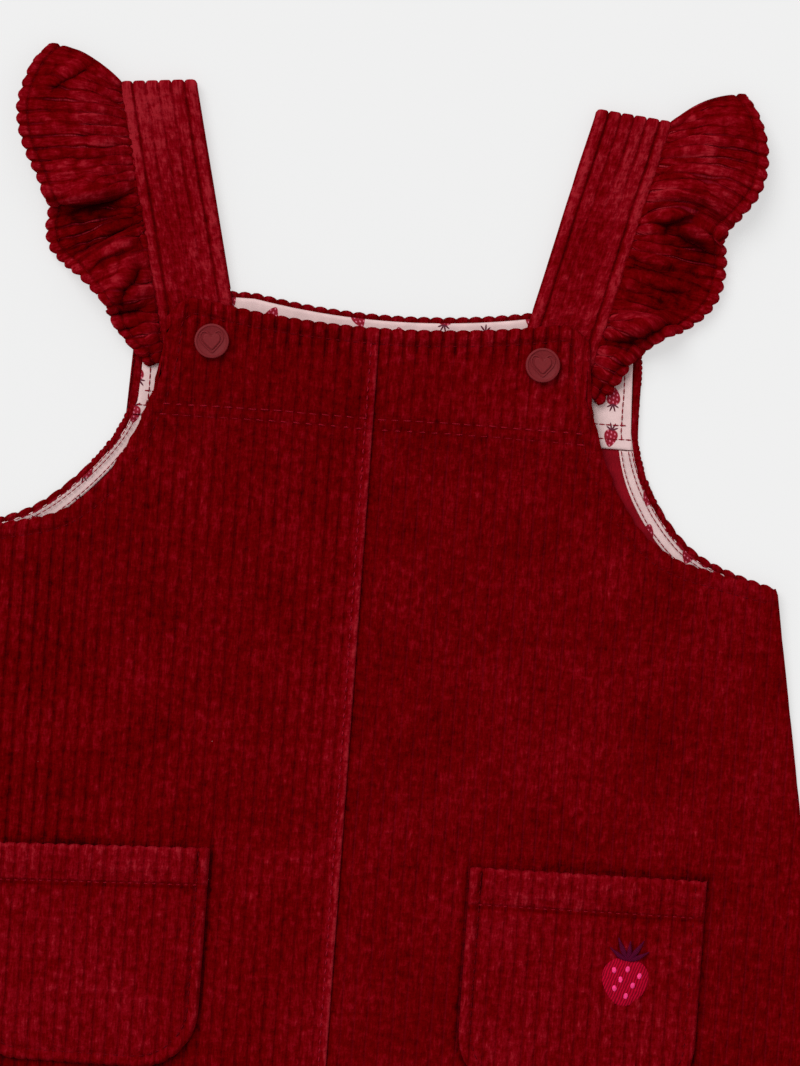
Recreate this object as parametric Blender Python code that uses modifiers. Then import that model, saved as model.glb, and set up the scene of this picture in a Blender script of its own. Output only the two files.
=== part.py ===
"""A baby's wide-wale corduroy pinafore dress, laid out flat and face up.

Metres, +Z up. The dress lies on its back panel: +Y runs up towards the shoulders, +X to the
picture's right. Sizes are measured from the bib line, the middle of the bib's top edge; the last
step moves the whole so that the origin is under the middle of its outline.
"""

import math
from collections import namedtuple

import bmesh
import bpy
import numpy as np
from mathutils import Vector

MM = 0.001

# The cloth
WALE = 4.3 * MM  # one corduroy rib, groove to groove
RIB = 0.9 * MM  # how far a rib stands over its groove
WALL = 1.1 * MM  # the cloth under the groove
PLAIN_WALL = 1.5 * MM  # the back panel, pressed flat under the dress
FACING_WALL = 1.0 * MM  # the printed cotton facing, turned and pressed
GAP = 0.3 * MM  # between two pieces that touch
SCALLOP = 0.6 * MM  # how far a groove bites into a turned edge
EDGE = 1.8 * MM  # the rounding of a turned edge
EDGE_DROP = 0.7 * MM  # how far the rounding comes down

# The front, from its middle seam outwards and from the bib line up
NECK_DIP = 5.5 * MM
BIB_HALF = 71.2 * MM
BIB_CORNER = 10.5 * MM
BIB_CORNER_UP = 1.6 * MM
UNDERARM_OUT = 139 * MM
UNDERARM_UP = -81 * MM
HEM_OUT = 188 * MM
HEM_UP = -376 * MM
HEM_RISE = 14 * MM  # the hem is cut round, so its sides lie higher than its middle

# The back
BACK_NECK_UP = 5.0 * MM
BACK_NECK_DIP = 4.2 * MM
BACK_NECK_HALF = 46 * MM
BACK_SHIFT = 3.9 * MM  # the top of the back has slid to one side under the front
BACK_SHIFT_SPAN = 50 * MM
BACK_PROUD = 1.2 * MM  # it shows past the front's side seam

# The straps, doubled over at the shoulder
STRAP_WALL = 2.4 * MM
STRAP_RIBS = 6
STRAP_WIDTH = 26.4 * MM
STRAP_LOW_OUT = 49.2 * MM  # its inner edge at the bib line
STRAP_LEAN = 0.243  # outwards for each step up
SHOULDER_UP = 74.6 * MM
SHOULDER_SLANT = 2.6 * MM  # the fold's outer end lies lower
STRAP_FRONT_END = -28 * MM
STRAP_TURN = 0.35 * MM  # radius of the doubled strap's inside

# The pockets
POCKET_IN = 43.5 * MM
POCKET_OUT = 122.6 * MM
POCKET_UP = -181 * MM
POCKET_DOWN = -256 * MM
POCKET_CORNER = 20 * MM
POCKET_BAND = 12.5 * MM  # the turned top, down to its stitching
POCKET_BAND_RISE = 0.5 * MM
RIGHT_POCKET_SLOPE = 0.012  # how its top edge rises outwards
LEFT_POCKET_SLOPE = -0.045

# The facing inside the back
FACING_INSET = 2.2 * MM
FACING_DOWN = -38.5 * MM
TAPE_TOP = 3.6 * MM  # the armhole tape's width where it leaves the facing
TAPE_LOW = 5.8 * MM  # and at the underarm

# The buttons
BUTTON_OUT = 55.2 * MM
BUTTON_UP = -12.6 * MM
BUTTON_RADIUS = 5.75 * MM
BUTTON_THICK = 2.4 * MM
BUTTON_SIDES = 32

# The frills, gathered on to the straps' outer edges and turned over the shoulders with them
FRILL_WALL = 1.0 * MM
FRILL_RIB = 0.7 * MM
FRILL_ROWS = 7
FRILL_TAB = 1.3 * MM  # its sewn edge, lying flat beside the strap
FRILL_GAP = 0.6 * MM
FRILL_BITE = 1.2 * MM  # how far a groove bites into its hem
FRILL_BACK_LIFT = 1.9 * MM  # the inside of the stretch that lies on the floor
GATHER = 0.5 * MM

CORDUROY = ("corduroy", (0.12, 0.004, 0.010), 0.9)
COTTON = ("printed cotton", (0.62, 0.42, 0.43), 0.85)
RUBBER = ("matt button", (0.17, 0.024, 0.028), 0.55)

Rib = namedtuple("Rib", "place height")
BELOW = -1.0  # marks the points of a panel's inside while it is made
ROUND_RIB = (Rib(0.0, 0.0), Rib(0.28, 1.0), Rib(0.72, 1.0))
PEAKED_RIB = (Rib(0.0, 0.0), Rib(0.5, 1.0))

# Half of the front's armhole, from the bib's side down to the underarm.
ArmPoint = namedtuple("ArmPoint", "out up")
FRONT_ARMHOLE = (
    ArmPoint(71.3, -10),
    ArmPoint(72.2, -22),
    ArmPoint(76.0, -36),
    ArmPoint(82.5, -51),
    ArmPoint(91.0, -63.5),
    ArmPoint(102.0, -72.3),
    ArmPoint(118.0, -77.0),
    ArmPoint(139.0, -81.0),
)
# Half of the back's, from the strap's outer edge.
BACK_ARMHOLE = (
    ArmPoint(77.0, 5.0),
    ArmPoint(81.5, 2.0),
    ArmPoint(84.4, -8),
    ArmPoint(83.7, -26),
    ArmPoint(88.3, -44.3),
    ArmPoint(97.6, -58.4),
    ArmPoint(112.0, -71.5),
    ArmPoint(124.0, -76.6),
    ArmPoint(139.0, -81.0),
)

# How high the front's inside lies: flat on the back at the skirt, up over the armhole tape and
# the facing, and up again over the strap ends inside the bib.
Rest = namedtuple("Rest", "up height")
FRONT_REST = (
    Rest(-400, 1.8),
    Rest(-116, 1.8),
    Rest(-90, 3.1),
    Rest(-46, 3.1),
    Rest(-31, 5.8),
    Rest(20, 5.8),
)
FRONT_ROWS = (-300, -262, -178, -116, -90, -46, -31, -14)

# Soft troughs (-) and ridges (+) in the front: place, length, width and height in millimetres,
# turn in degrees from the wales.
Crease = namedtuple("Crease", "out up length width height turn")
RIGHT_CREASES = (
    Crease(36, -318, 90, 17, 0.9, 5),
    Crease(88, -322, 84, 15, 0.8, 11),
    Crease(141, -318, 96, 16, 0.9, 14),
    Crease(104, -128, 60, 18, 0.7, -24),
    Crease(20, -120, 90, 16, 0.6, 4),
)
LEFT_CREASES = (
    Crease(28, -322, 80, 15, 0.8, 4),
    Crease(74, -312, 96, 17, 0.9, 8),
    Crease(128, -324, 88, 16, 0.9, 13),
    Crease(112, -132, 66, 20, 0.7, -20),
    Crease(30, -132, 80, 18, 0.6, 2),
)

# A frill's folds, from the bib up over the shoulder and down the back. root is the place on the
# strap's edge, out and up the place of the frill's own edge, lift and crown the height of its
# inside at that edge and in its middle, bow how far the wale between them curves upwards.
Fold = namedtuple("Fold", "root out up lift crown bow")
LEFT_FOLDS = (
    Fold(-19.5, 76.2, -23.0, 3.6, 0.0, 0.0),
    Fold(-15.0, 81.0, -18.0, 3.9, 1.6, 0.0),
    Fold(-10.5, 85.8, -13.2, 4.6, 3.2, 0.0),
    Fold(-6.0, 89.4, -8.6, 4.0, 2.4, 0.0),
    Fold(-2.6, 91.6, -5.0, 3.3, 0.4, 0.0),
    Fold(-0.4, 91.0, -4.2, 7.0, 3.0, 0.0),
    Fold(2.4, 93.4, -1.8, 9.4, 5.4, 0.0),
    Fold(7.0, 96.2, 0.8, 8.6, 5.4, 0.0),
    Fold(12.0, 99.0, 3.4, 8.4, 4.6, 0.0),
    Fold(17.0, 101.8, 5.8, 8.2, 4.2, 0.0),
    Fold(21.4, 104.0, 7.2, 6.4, 3.6, 0.5),
    Fold(24.4, 107.6, 9.8, 3.2, 0.8, 0.0),
    Fold(26.6, 112.0, 14.4, 2.8, 0.2, 0.0),
    Fold(28.8, 113.8, 20.0, 2.8, 0.2, 0.0),
    Fold(32.4, 113.6, 26.0, 2.9, 0.4, 0.0),
    Fold(35.6, 113.2, 30.2, 3.4, 0.8, -0.3),
    Fold(37.6, 113.4, 29.8, 7.4, 4.0, -1.0),
    Fold(39.4, 114.6, 31.0, 9.6, 5.8, -1.2),
    Fold(43.4, 117.4, 37.0, 9.2, 5.2, -0.6),
    Fold(49.0, 121.6, 44.6, 8.4, 4.6, 0.0),
    Fold(55.0, 124.8, 52.6, 7.8, 4.2, 0.5),
    Fold(61.0, 126.2, 61.0, 7.2, 3.8, 1.0),
    Fold(66.0, 124.8, 69.0, 6.2, 3.0, 1.6),
    Fold(69.6, 121.6, 77.0, 4.6, 1.6, 2.4),
)
RIGHT_FOLDS = (
    Fold(-20.5, 75.4, -25.0, 3.6, 0.0, 0.0),
    Fold(-16.0, 79.4, -20.0, 3.9, 1.4, 0.0),
    Fold(-11.0, 82.8, -14.6, 4.6, 3.0, 0.0),
    Fold(-6.0, 86.2, -8.6, 4.8, 3.4, 0.0),
    Fold(-2.0, 89.6, -4.6, 3.6, 0.8, 0.0),
    Fold(1.0, 92.4, -2.8, 6.6, 3.2, 0.6),
    Fold(3.8, 97.0, -0.2, 8.8, 5.6, 2.2),
    Fold(7.0, 101.4, 1.8, 4.6, 1.6, 1.5),
    Fold(10.5, 105.0, 4.4, 3.6, 0.6, 0.5),
    Fold(14.5, 108.6, 7.6, 3.4, 0.4, 0.0),
    Fold(19.0, 111.6, 11.6, 3.2, 0.4, 0.0),
    Fold(24.0, 113.8, 17.6, 3.0, 0.4, 0.0),
    Fold(28.5, 114.4, 23.8, 3.0, 0.6, 0.0),
    Fold(31.5, 114.2, 28.8, 3.4, 1.0, 0.5),
    Fold(34.0, 113.2, 32.6, 5.4, 2.6, 1.5),
    Fold(36.6, 112.6, 34.6, 9.0, 6.0, 3.6),
    Fold(39.0, 113.8, 36.0, 6.6, 3.0, 4.0),
    Fold(42.2, 115.0, 37.6, 5.4, 2.0, 4.0),
    Fold(45.4, 117.2, 40.0, 7.8, 4.2, 4.2),
    Fold(48.4, 119.6, 43.2, 9.0, 5.4, 3.8),
    Fold(52.0, 122.2, 46.8, 8.6, 5.0, 3.0),
    Fold(56.0, 124.6, 52.4, 7.8, 4.4, 2.4),
    Fold(60.0, 125.6, 58.4, 7.2, 4.0, 2.0),
    Fold(64.0, 125.2, 64.8, 6.6, 3.4, 2.0),
    Fold(67.4, 123.8, 70.8, 5.6, 2.8, 2.2),
    Fold(69.8, 121.0, 77.0, 4.2, 1.4, 2.6),
)
# The turn over the shoulder and the stretch that lies under the first, the same on both frills.
BACK_FOLDS = (
    Fold(71.6, 117.6, 81.8, 2.25, 0.0, 2.8),
    Fold(69.4, 120.6, 75.4, 1.9, 0.0, 1.8),
    Fold(61.0, 122.8, 63.0, 1.9, 0.0, 0.0),
    Fold(49.0, 120.6, 49.0, 1.9, 0.0, 0.0),
    Fold(37.0, 114.4, 36.0, 1.9, 0.0, 0.0),
    Fold(25.0, 108.6, 23.6, 1.9, 0.0, 0.0),
    Fold(15.0, 100.0, 13.4, 1.9, 0.0, 0.0),
    Fold(8.6, 86.0, 8.2, 1.9, 0.0, 0.0),
)


def clear_scene():
    for thing in list(bpy.data.objects):
        bpy.data.objects.remove(thing)


def cloth_material(name, colour, roughness):
    material = bpy.data.materials.new(name)
    material.use_nodes = True
    shader = material.node_tree.nodes["Principled BSDF"]
    shader.inputs["Base Color"].default_value = (*colour, 1.0)
    shader.inputs["Roughness"].default_value = roughness
    shader.inputs["Metallic"].default_value = 0.0
    return material


def smooth_step(share):
    share = min(max(share, 0.0), 1.0)
    return share * share * (3 - 2 * share)


def smooth_curve(rows, steps):
    """Points along a smooth curve through the rows, every column carried with the same weight."""
    knots = np.array(rows, float)
    spans = np.linalg.norm(np.diff(knots[:, :3], axis=0), axis=1) + 1e-9
    places = np.concatenate([[0], np.cumsum(spans)])
    slopes = np.gradient(knots, places, axis=0)
    made = []
    for i, span in enumerate(spans):
        for step in range(steps):
            t = step / steps
            made.append(
                (2 * t**3 - 3 * t**2 + 1) * knots[i]
                + (t**3 - 2 * t**2 + t) * span * slopes[i]
                + (3 * t**2 - 2 * t**3) * knots[i + 1]
                + (t**3 - t**2) * span * slopes[i + 1]
            )
    made.append(knots[-1])
    return np.array(made)


def rib_stops(width, shape):
    """Where the ribs' outline turns across a width, as (place, share of the rib's height)."""
    stops = [
        Rib((k + stop.place) * WALE, stop.height)
        for k in range(int(width / WALE) + 1)
        for stop in shape
        if (k + stop.place) * WALE < width - 0.4 * MM
    ]
    return [*stops, Rib(width, 0.0)]


def finish_object(name, bm, material, collection, parent):
    bmesh.ops.recalc_face_normals(bm, faces=bm.faces)
    mesh = bpy.data.meshes.new(name)
    bm.to_mesh(mesh)
    bm.free()
    mesh.materials.append(material)
    return place_object(name, mesh, collection, parent)


def place_object(name, data, collection, parent):
    thing = bpy.data.objects.new(name, data)
    collection.objects.link(thing)
    thing.parent = parent
    return thing


def shaped_grid(columns, rows, place):
    """A sheet of columns by rows, each of its points put where place(column, row) says."""
    bm = bmesh.new()
    bmesh.ops.create_grid(bm, x_segments=columns - 1, y_segments=rows - 1, size=1.0)
    for vert in bm.verts:
        column = round((vert.co.x + 1) / 2 * (columns - 1))
        row = round((vert.co.y + 1) / 2 * (rows - 1))
        vert.co = place(column, row)
    return bm


def ribbed_slab(bm, inside, outside, bends):
    """A flat sheet made a wall: ribs in its outer points over a plain inside.

    inside(up) and outside(vert) give heights. The inside is one face, bent at the named places.
    """
    bmesh.ops.remove_doubles(bm, verts=bm.verts, dist=0.02 * MM)
    outer = list(bm.verts)
    heights = {vert: outside(vert) for vert in outer}
    rim = bmesh.ops.extrude_edge_only(bm, edges=[e for e in bm.edges if e.is_boundary])
    for vert in (v for v in rim["geom"] if isinstance(v, bmesh.types.BMVert)):
        vert.co.z = BELOW
    bmesh.ops.contextual_create(bm, geom=[e for e in bm.edges if e.is_boundary])
    for up in bends:
        floor = [f for f in bm.faces if all(v.co.z < BELOW / 2 for v in f.verts)]
        edges = {e for f in floor for e in f.edges}
        verts = {v for f in floor for v in f.verts}
        bmesh.ops.bisect_plane(
            bm,
            geom=[*floor, *edges, *verts],
            dist=0.001 * MM,
            plane_co=(0, up, 0),
            plane_no=(0, 1, 0),
        )
    for vert in bm.verts:
        vert.co.z = inside(vert.co.y) if vert.co.z < BELOW / 2 else heights[vert]
    return bm


# ---- the front ----


def front_top_line():
    """Half of the front's upper edge: neckline, rounded corner, armhole and side seam."""
    points = []
    reach = BIB_HALF - BIB_CORNER
    for step in range(13):
        out = reach * step / 12
        points.append((out, BIB_CORNER_UP - NECK_DIP * (1 - (out / reach) ** 2)))
    for step in range(1, 9):
        angle = math.pi / 2 * (1 - step / 8)
        points.append(
            (
                reach + BIB_CORNER * math.cos(angle),
                BIB_CORNER_UP - BIB_CORNER * (1 - math.sin(angle)),
            )
        )
    arm = smooth_curve([(p.out * MM, p.up * MM) for p in FRONT_ARMHOLE], 8)
    points += [tuple(p) for p in arm if p[0] > BIB_HALF + 0.05 * MM]
    points.append((HEM_OUT, HEM_UP + HEM_RISE))
    return np.array(points)


FRONT_TOP = front_top_line()


def top_of_front(out):
    return float(np.interp(out, FRONT_TOP[:, 0], FRONT_TOP[:, 1]))


def hem_at(out):
    return HEM_UP + HEM_RISE * (out / HEM_OUT) ** 2


def front_rest(up):
    table = np.array(FRONT_REST)
    return float(np.interp(up, table[:, 0] * MM, table[:, 1] * MM))


def crease_height(creases, out, up):
    """The height of the soft folds at a place on the front."""
    total = 0.0
    for crease in creases:
        turn = math.radians(crease.turn)
        across = out - crease.out * MM
        along = up - crease.up * MM
        run = (along * math.cos(turn) - across * math.sin(turn)) / (crease.length * MM / 2)
        side = (across * math.cos(turn) + along * math.sin(turn)) / (crease.width * MM / 2)
        if abs(run) < 1 and abs(side) < 1:
            fade = (1 - run**2) ** 2 * (1 - side**2) ** 2
            total += crease.height * MM * fade
    return total


def front_panel(side, creases, material, collection, parent):
    """One of the two front halves; side is 1 on the picture's right and -1 on its left."""
    width = HEM_OUT - GAP / 2
    stops = rib_stops(width, PEAKED_RIB)
    rows = len(FRONT_ROWS) + 4

    def place(column, row):
        stop = stops[column]
        out = GAP / 2 + stop.place
        bite = SCALLOP * (1 - stop.height)
        low = hem_at(out) + bite
        high = max(top_of_front(out) - bite, low)
        edge = min(EDGE, (high - low) / 2)
        if row == 0:
            up = low
        elif row == rows - 1:
            up = high
        elif row == 1:
            up = low + edge
        elif row == rows - 2:
            up = high - edge
        else:
            up = min(max(FRONT_ROWS[row - 2] * MM, low + edge), high - edge)
        return Vector((side * out, up, stop.height))

    def outside(vert):
        out, up, height = abs(vert.co.x), vert.co.y, vert.co.z
        at_edge = vert.is_boundary and out > GAP
        drop = EDGE_DROP if at_edge else 0.0
        relief = crease_height(creases, out, up)
        return front_rest(up) + WALL + RIB * height - drop * (0.4 + 0.6 * height) + relief

    sheet = shaped_grid(len(stops), rows, place)
    bends = [rest.up * MM for rest in FRONT_REST[1:-1]]
    slab = ribbed_slab(sheet, front_rest, outside, bends)
    name = "front_right" if side > 0 else "front_left"
    return finish_object(name, slab, material, collection, parent)


# ---- the back and its facings ----


def back_shift(up):
    """How far the back has slid sideways at a height."""
    return BACK_SHIFT * smooth_step((up - UNDERARM_UP) / BACK_SHIFT_SPAN)


def back_armhole():
    """Half of the back's armhole edge, from the strap down to the underarm."""
    return smooth_curve([(p.out * MM, p.up * MM) for p in BACK_ARMHOLE], 6)


def moved_in(line, first, last):
    """A line moved in from the armhole's edge, by first at its start and by last at its end."""
    ways = np.gradient(line, axis=0)
    ways /= np.linalg.norm(ways, axis=1)[:, None]
    inwards = np.stack([ways[:, 1], -ways[:, 0]], axis=1)
    return line + np.linspace(first, last, len(line))[:, None] * inwards


def cut_below(line, up):
    """The stretch of a falling line below a height, starting on that height."""
    below = [tuple(point) for point in line if point[1] < up]
    return [(float(np.interp(-up, -line[:, 1], line[:, 0])), up), *below]


def scalloped(line, amount):
    """The line with the grooves of the wales bitten into it, a point on each quarter of a wale."""
    made = []
    for (out, up), (next_out, next_up) in zip(line, line[1:], strict=False):
        run = next_out - out
        level = abs(run) / math.hypot(run, next_up - up)
        first, last = sorted((out / WALE * 4, next_out / WALE * 4))
        stops = [k * WALE / 4 for k in range(math.ceil(first), math.ceil(last))]
        for stop in sorted(stops, reverse=bool(run < 0)):
            place = up + (next_up - up) * (stop - out) / run
            bite = amount * level * (1 - math.sin(math.pi * (stop / WALE % 1.0)))
            made.append((stop, place - bite))
        if not stops:
            made.append((out, up))
    return [*made, tuple(line[-1])]


def back_neckline(inset=0.0):
    outs = np.linspace(0.0, BACK_NECK_HALF, 12)
    ups = BACK_NECK_UP - BACK_NECK_DIP * (1 - (outs / BACK_NECK_HALF) ** 2) - inset
    return np.stack([outs, ups], axis=1)


def shifted(points, side):
    return [(side * out + back_shift(up), up) for out, up in points]


def outline_object(name, points, low, thick, material, collection, parent):
    """A flat piece: a closed outline with a thickness, its underside at low."""
    curve = bpy.data.curves.new(name, "CURVE")
    curve.dimensions = "2D"
    curve.fill_mode = "BOTH"
    curve.extrude = thick / 2
    spline = curve.splines.new("POLY")
    spline.points.add(len(points) - 1)
    for point, (x, y) in zip(spline.points, points, strict=True):
        point.co = (x, y, 0.0, 1.0)
    spline.use_cyclic_u = True
    curve.materials.append(material)
    thing = place_object(name, curve, collection, parent)
    thing.location.z = low + thick / 2
    return thing


def back_panel(material, collection, parent):
    half = scalloped(back_neckline(), SCALLOP) + scalloped(back_armhole(), SCALLOP)
    half.append((HEM_OUT + BACK_PROUD, HEM_UP + HEM_RISE))
    hem = [(out, hem_at(out)) for out in np.linspace(HEM_OUT, 0, 9)[1:]]
    right = shifted(half, 1) + hem
    left = shifted(half[1:], -1) + [(-out, up) for out, up in hem[:-1]]
    points = right + left[::-1]
    return outline_object("back", points, 0.0, PLAIN_WALL, material, collection, parent)


def back_facing(material, collection, parent):
    """The yoke of printed cotton inside the back, from the neckline to under the bib's seam."""
    edge = moved_in(back_armhole(), FACING_INSET, FACING_INSET)
    top = BACK_NECK_UP - FACING_INSET
    side = [(out, up) for out, up in edge if FACING_DOWN < up < top]
    low_corner = cut_below(edge, FACING_DOWN)[0]
    half = [tuple(point) for point in back_neckline(FACING_INSET)] + side + [low_corner]
    points = shifted(half, 1) + shifted(half[1:], -1)[::-1]
    low = PLAIN_WALL + GAP
    return outline_object("back_facing", points, low, FACING_WALL, material, collection, parent)


def armhole_tape(side, material, collection, parent):
    """The narrow bias strip that finishes the armhole below the facing."""
    edge = back_armhole()
    outer = moved_in(edge, FACING_INSET, FACING_INSET)[:-1]
    inner = moved_in(edge, FACING_INSET + TAPE_TOP, FACING_INSET + TAPE_LOW)[:-1]
    top = FACING_DOWN - GAP
    points = cut_below(outer, top) + cut_below(inner, top)[::-1]
    name = "armhole_tape_right" if side > 0 else "armhole_tape_left"
    low = PLAIN_WALL + GAP
    place = shifted(points, side)
    return outline_object(name, place, low, FACING_WALL, material, collection, parent)


# ---- the straps ----


def strap_path():
    """The strap's inside seen from the side, from the back's edge over the shoulder and down the
    front: (place up, height, share of rib), the fold's middle at place 0."""
    low, high = STRAP_WALL, STRAP_WALL + 2 * STRAP_TURN
    top = SHOULDER_UP - STRAP_WALL - STRAP_TURN
    path = [(BACK_NECK_UP + 2 * GAP, low, 0.0), (top * 0.6, low, 0.0), (top, low, 0.0)]
    for angle in (45, 90, 135):
        turn = math.radians(angle)
        path.append(
            (
                top + STRAP_TURN * math.sin(turn),
                (low + high) / 2 - STRAP_TURN * math.cos(turn),
                angle / 135,
            )
        )
    path += [(top, high, 1.0), (top * 0.5, high, 1.0), (0.0, high, 1.0)]
    path.append((STRAP_FRONT_END, high, 1.0))
    return path


def strap_edge(up):
    """The strap's inner edge, out from the middle, at a height."""
    return STRAP_LOW_OUT + STRAP_LEAN * up


def strap(side, material, collection, parent):
    pitch = STRAP_WIDTH / (STRAP_RIBS * WALE)
    stops = [
        Rib(rib.place * pitch, rib.height)
        for rib in rib_stops(STRAP_RIBS * WALE, ROUND_RIB)
    ]
    path = strap_path()

    def place(column, row):
        up, height, _ = path[row]
        share = stops[column].place / STRAP_WIDTH
        up -= SHOULDER_SLANT * share * max(up, 0.0) / SHOULDER_UP
        return Vector((side * (strap_edge(up) + stops[column].place), up, height))

    bm = shaped_grid(len(stops), len(path), place)
    layer = bm.verts.layers.deform.verify()
    columns, rows = len(stops), len(path)
    bm.verts.ensure_lookup_table()
    for index, vert in enumerate(bm.verts):
        column, row = index % columns, index // columns
        rib = 1 - (1 - stops[column].height) * path[row][2]
        vert[layer][0] = (STRAP_WALL - RIB * (1 - rib)) / STRAP_WALL
    if side > 0:
        bmesh.ops.reverse_faces(bm, faces=bm.faces)
    name = "strap_right" if side > 0 else "strap_left"
    return solid_cloth(name, bm, STRAP_WALL, material, collection, parent)


def solid_cloth(name, bm, thick, material, collection, parent):
    """A sheet thickened outwards from its plain inside, ribs by the weight of each point."""
    mesh = bpy.data.meshes.new(name)
    bm.to_mesh(mesh)
    bm.free()
    mesh.materials.append(material)
    thing = place_object(name, mesh, collection, parent)
    thing.vertex_groups.new(name="wall")
    wall = thing.modifiers.new("wall", "SOLIDIFY")
    wall.thickness = thick
    wall.offset = 1.0
    wall.vertex_group = "wall"
    wall.thickness_vertex_group = 0.0
    return thing


# ---- the frills ----


def frill_lines(folds):
    """The frill's wales as lines from the strap to its own edge, evenly spaced along the cloth:
    (line of points, share of the rib's height)."""
    rows = [(f.out * MM, f.up * MM, f.lift * MM, f.root * MM, f.crown * MM, f.bow * MM) for f in folds]
    dense = smooth_curve(rows, 24)
    steps = np.linalg.norm(np.diff(dense[:, :3], axis=0), axis=1)
    cloth = np.concatenate([[0], np.cumsum(steps)])
    ribs = round(cloth[-1] / WALE)
    stops = []
    for k in range(ribs):
        for stop in ROUND_RIB:
            stops.append((k + stop.place, stop.height))
    stops.append((ribs, 0.0))
    lines = []
    for place, height in stops:
        at = place / ribs * cloth[-1]
        out, up, lift, root, crown, bow = (
            float(np.interp(at, cloth, dense[:, k])) for k in range(6)
        )
        line = frill_line(out, up, lift, root, crown, bow, place)
        hem = line[-1] - line[-2]
        bite = min(FRILL_BITE / hem.length, 0.4)
        line[-1] -= hem * bite * (1 - height)
        lines.append((line, height))
    return lines


def frill_root(root, lift):
    """The place on the strap's outer edge that a wale starts from."""
    slant = SHOULDER_SLANT * max(root, 0.0) / SHOULDER_UP
    edge = strap_edge(root - slant) + STRAP_WIDTH
    beside_bib = BIB_HALF + 1.6 * MM
    front_root = STRAP_WALL + 2 * STRAP_TURN + 0.4 * MM
    share = smooth_step((lift - FRILL_BACK_LIFT) / (0.7 * MM))
    height = FRILL_BACK_LIFT + (front_root - FRILL_BACK_LIFT) * share
    return Vector((max(edge, beside_bib) + FRILL_GAP, root, height))


def frill_line(out, up, lift, root, crown, bow, place):
    sewn = frill_root(root, lift)
    end = Vector((out, up, lift))
    start = sewn + Vector((FRILL_TAB, 0.0, 0.0))
    along = end - start
    across = Vector((-along.y, along.x, 0.0)).normalized()
    line = [sewn]
    for row in range(FRILL_ROWS - 1):
        t = row / (FRILL_ROWS - 2)
        point = start.lerp(end, t)
        point.z = start.z + (end.z - start.z) * smooth_step(t)
        point.z += crown * math.sin(math.pi * t**0.8) ** 2
        point += across * bow * math.sin(math.pi * t)
        ripple = math.sin(math.pi * place) ** 2 * math.sin(math.pi * min(2.5 * t, 1.0))
        point.z += GATHER * ripple * min(max(lift - FRILL_BACK_LIFT, 0.0) / MM, 1.0)
        line.append(point)
    return line


def frill(side, folds, material, collection, parent):
    lines = frill_lines(folds + BACK_FOLDS)

    def place(column, row):
        point = lines[column][0][row]
        return Vector((side * point.x, point.y, point.z))

    bm = shaped_grid(len(lines), FRILL_ROWS, place)
    layer = bm.verts.layers.deform.verify()
    thick = FRILL_WALL + FRILL_RIB
    for index, vert in enumerate(bm.verts):
        height = lines[index % len(lines)][1]
        vert[layer][0] = (FRILL_WALL + FRILL_RIB * height) / thick
    if side > 0:
        bmesh.ops.reverse_faces(bm, faces=bm.faces)
    name = "frill_right" if side > 0 else "frill_left"
    return solid_cloth(name, bm, thick, material, collection, parent)


# ---- the pockets and buttons ----


def pocket_bottom(across):
    """The pocket's lower edge, with rounded corners, at a place across it."""
    width = POCKET_OUT - POCKET_IN
    near = min(across, width - across)
    if near >= POCKET_CORNER:
        return POCKET_DOWN
    bend = math.sqrt(max(POCKET_CORNER**2 - (POCKET_CORNER - near) ** 2, 0.0))
    return POCKET_DOWN + POCKET_CORNER - bend


def pocket(side, slope, material, collection, parent):
    width = POCKET_OUT - POCKET_IN
    stops = rib_stops(width, ROUND_RIB)
    base = front_rest(POCKET_DOWN) + WALL + RIB + GAP
    rows = 6

    def band_at(across):
        return POCKET_UP - POCKET_BAND + slope * across

    def place(column, row):
        stop = stops[column]
        bite = SCALLOP * (1 - stop.height)
        low = pocket_bottom(stop.place) + bite
        band = band_at(stop.place)
        high = band + POCKET_BAND - bite
        heights = (low, low + EDGE, band - EDGE, band, high - EDGE, high)
        return Vector((side * (POCKET_IN + stop.place), heights[row], stop.height))

    def outside(vert):
        height = vert.co.z
        drop = EDGE_DROP * (0.4 + 0.6 * height) if vert.is_boundary else 0.0
        band = band_at(abs(vert.co.x) - POCKET_IN)
        rise = POCKET_BAND_RISE if vert.co.y > band - EDGE / 2 else 0.0
        return base + WALL + RIB * height - drop + rise

    slab = ribbed_slab(shaped_grid(len(stops), rows, place), lambda up: base, outside, ())
    name = "pocket_right" if side > 0 else "pocket_left"
    return finish_object(name, slab, material, collection, parent)


def button(side, material, collection, parent):
    """A turned button with a soft rim, standing on the bib's ribs."""
    low = front_rest(BUTTON_UP) + WALL + RIB + GAP
    rim, lip = BUTTON_RADIUS, 0.5 * MM
    profile = [
        (0.0, BUTTON_THICK - 0.3 * MM),
        (rim - 3 * lip, BUTTON_THICK - 0.3 * MM),
        (rim - 2 * lip, BUTTON_THICK),
        (rim - lip, BUTTON_THICK),
        (rim, BUTTON_THICK - lip),
        (rim, lip),
        (rim - lip, 0.0),
        (0.0, 0.0),
    ]
    name = "button_right" if side > 0 else "button_left"
    mesh = bpy.data.meshes.new(name)
    bm = bmesh.new()
    verts = [bm.verts.new((out, 0.0, up)) for out, up in profile]
    for first, second in zip(verts, verts[1:], strict=False):
        bm.edges.new((first, second))
    bm.to_mesh(mesh)
    bm.free()
    mesh.materials.append(material)
    thing = place_object(name, mesh, collection, parent)
    thing.location = (side * BUTTON_OUT, BUTTON_UP, low)
    turn = thing.modifiers.new("turn", "SCREW")
    turn.steps = turn.render_steps = BUTTON_SIDES
    turn.use_merge_vertices = True
    turn.merge_threshold = 0.01 * MM
    return thing


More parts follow.
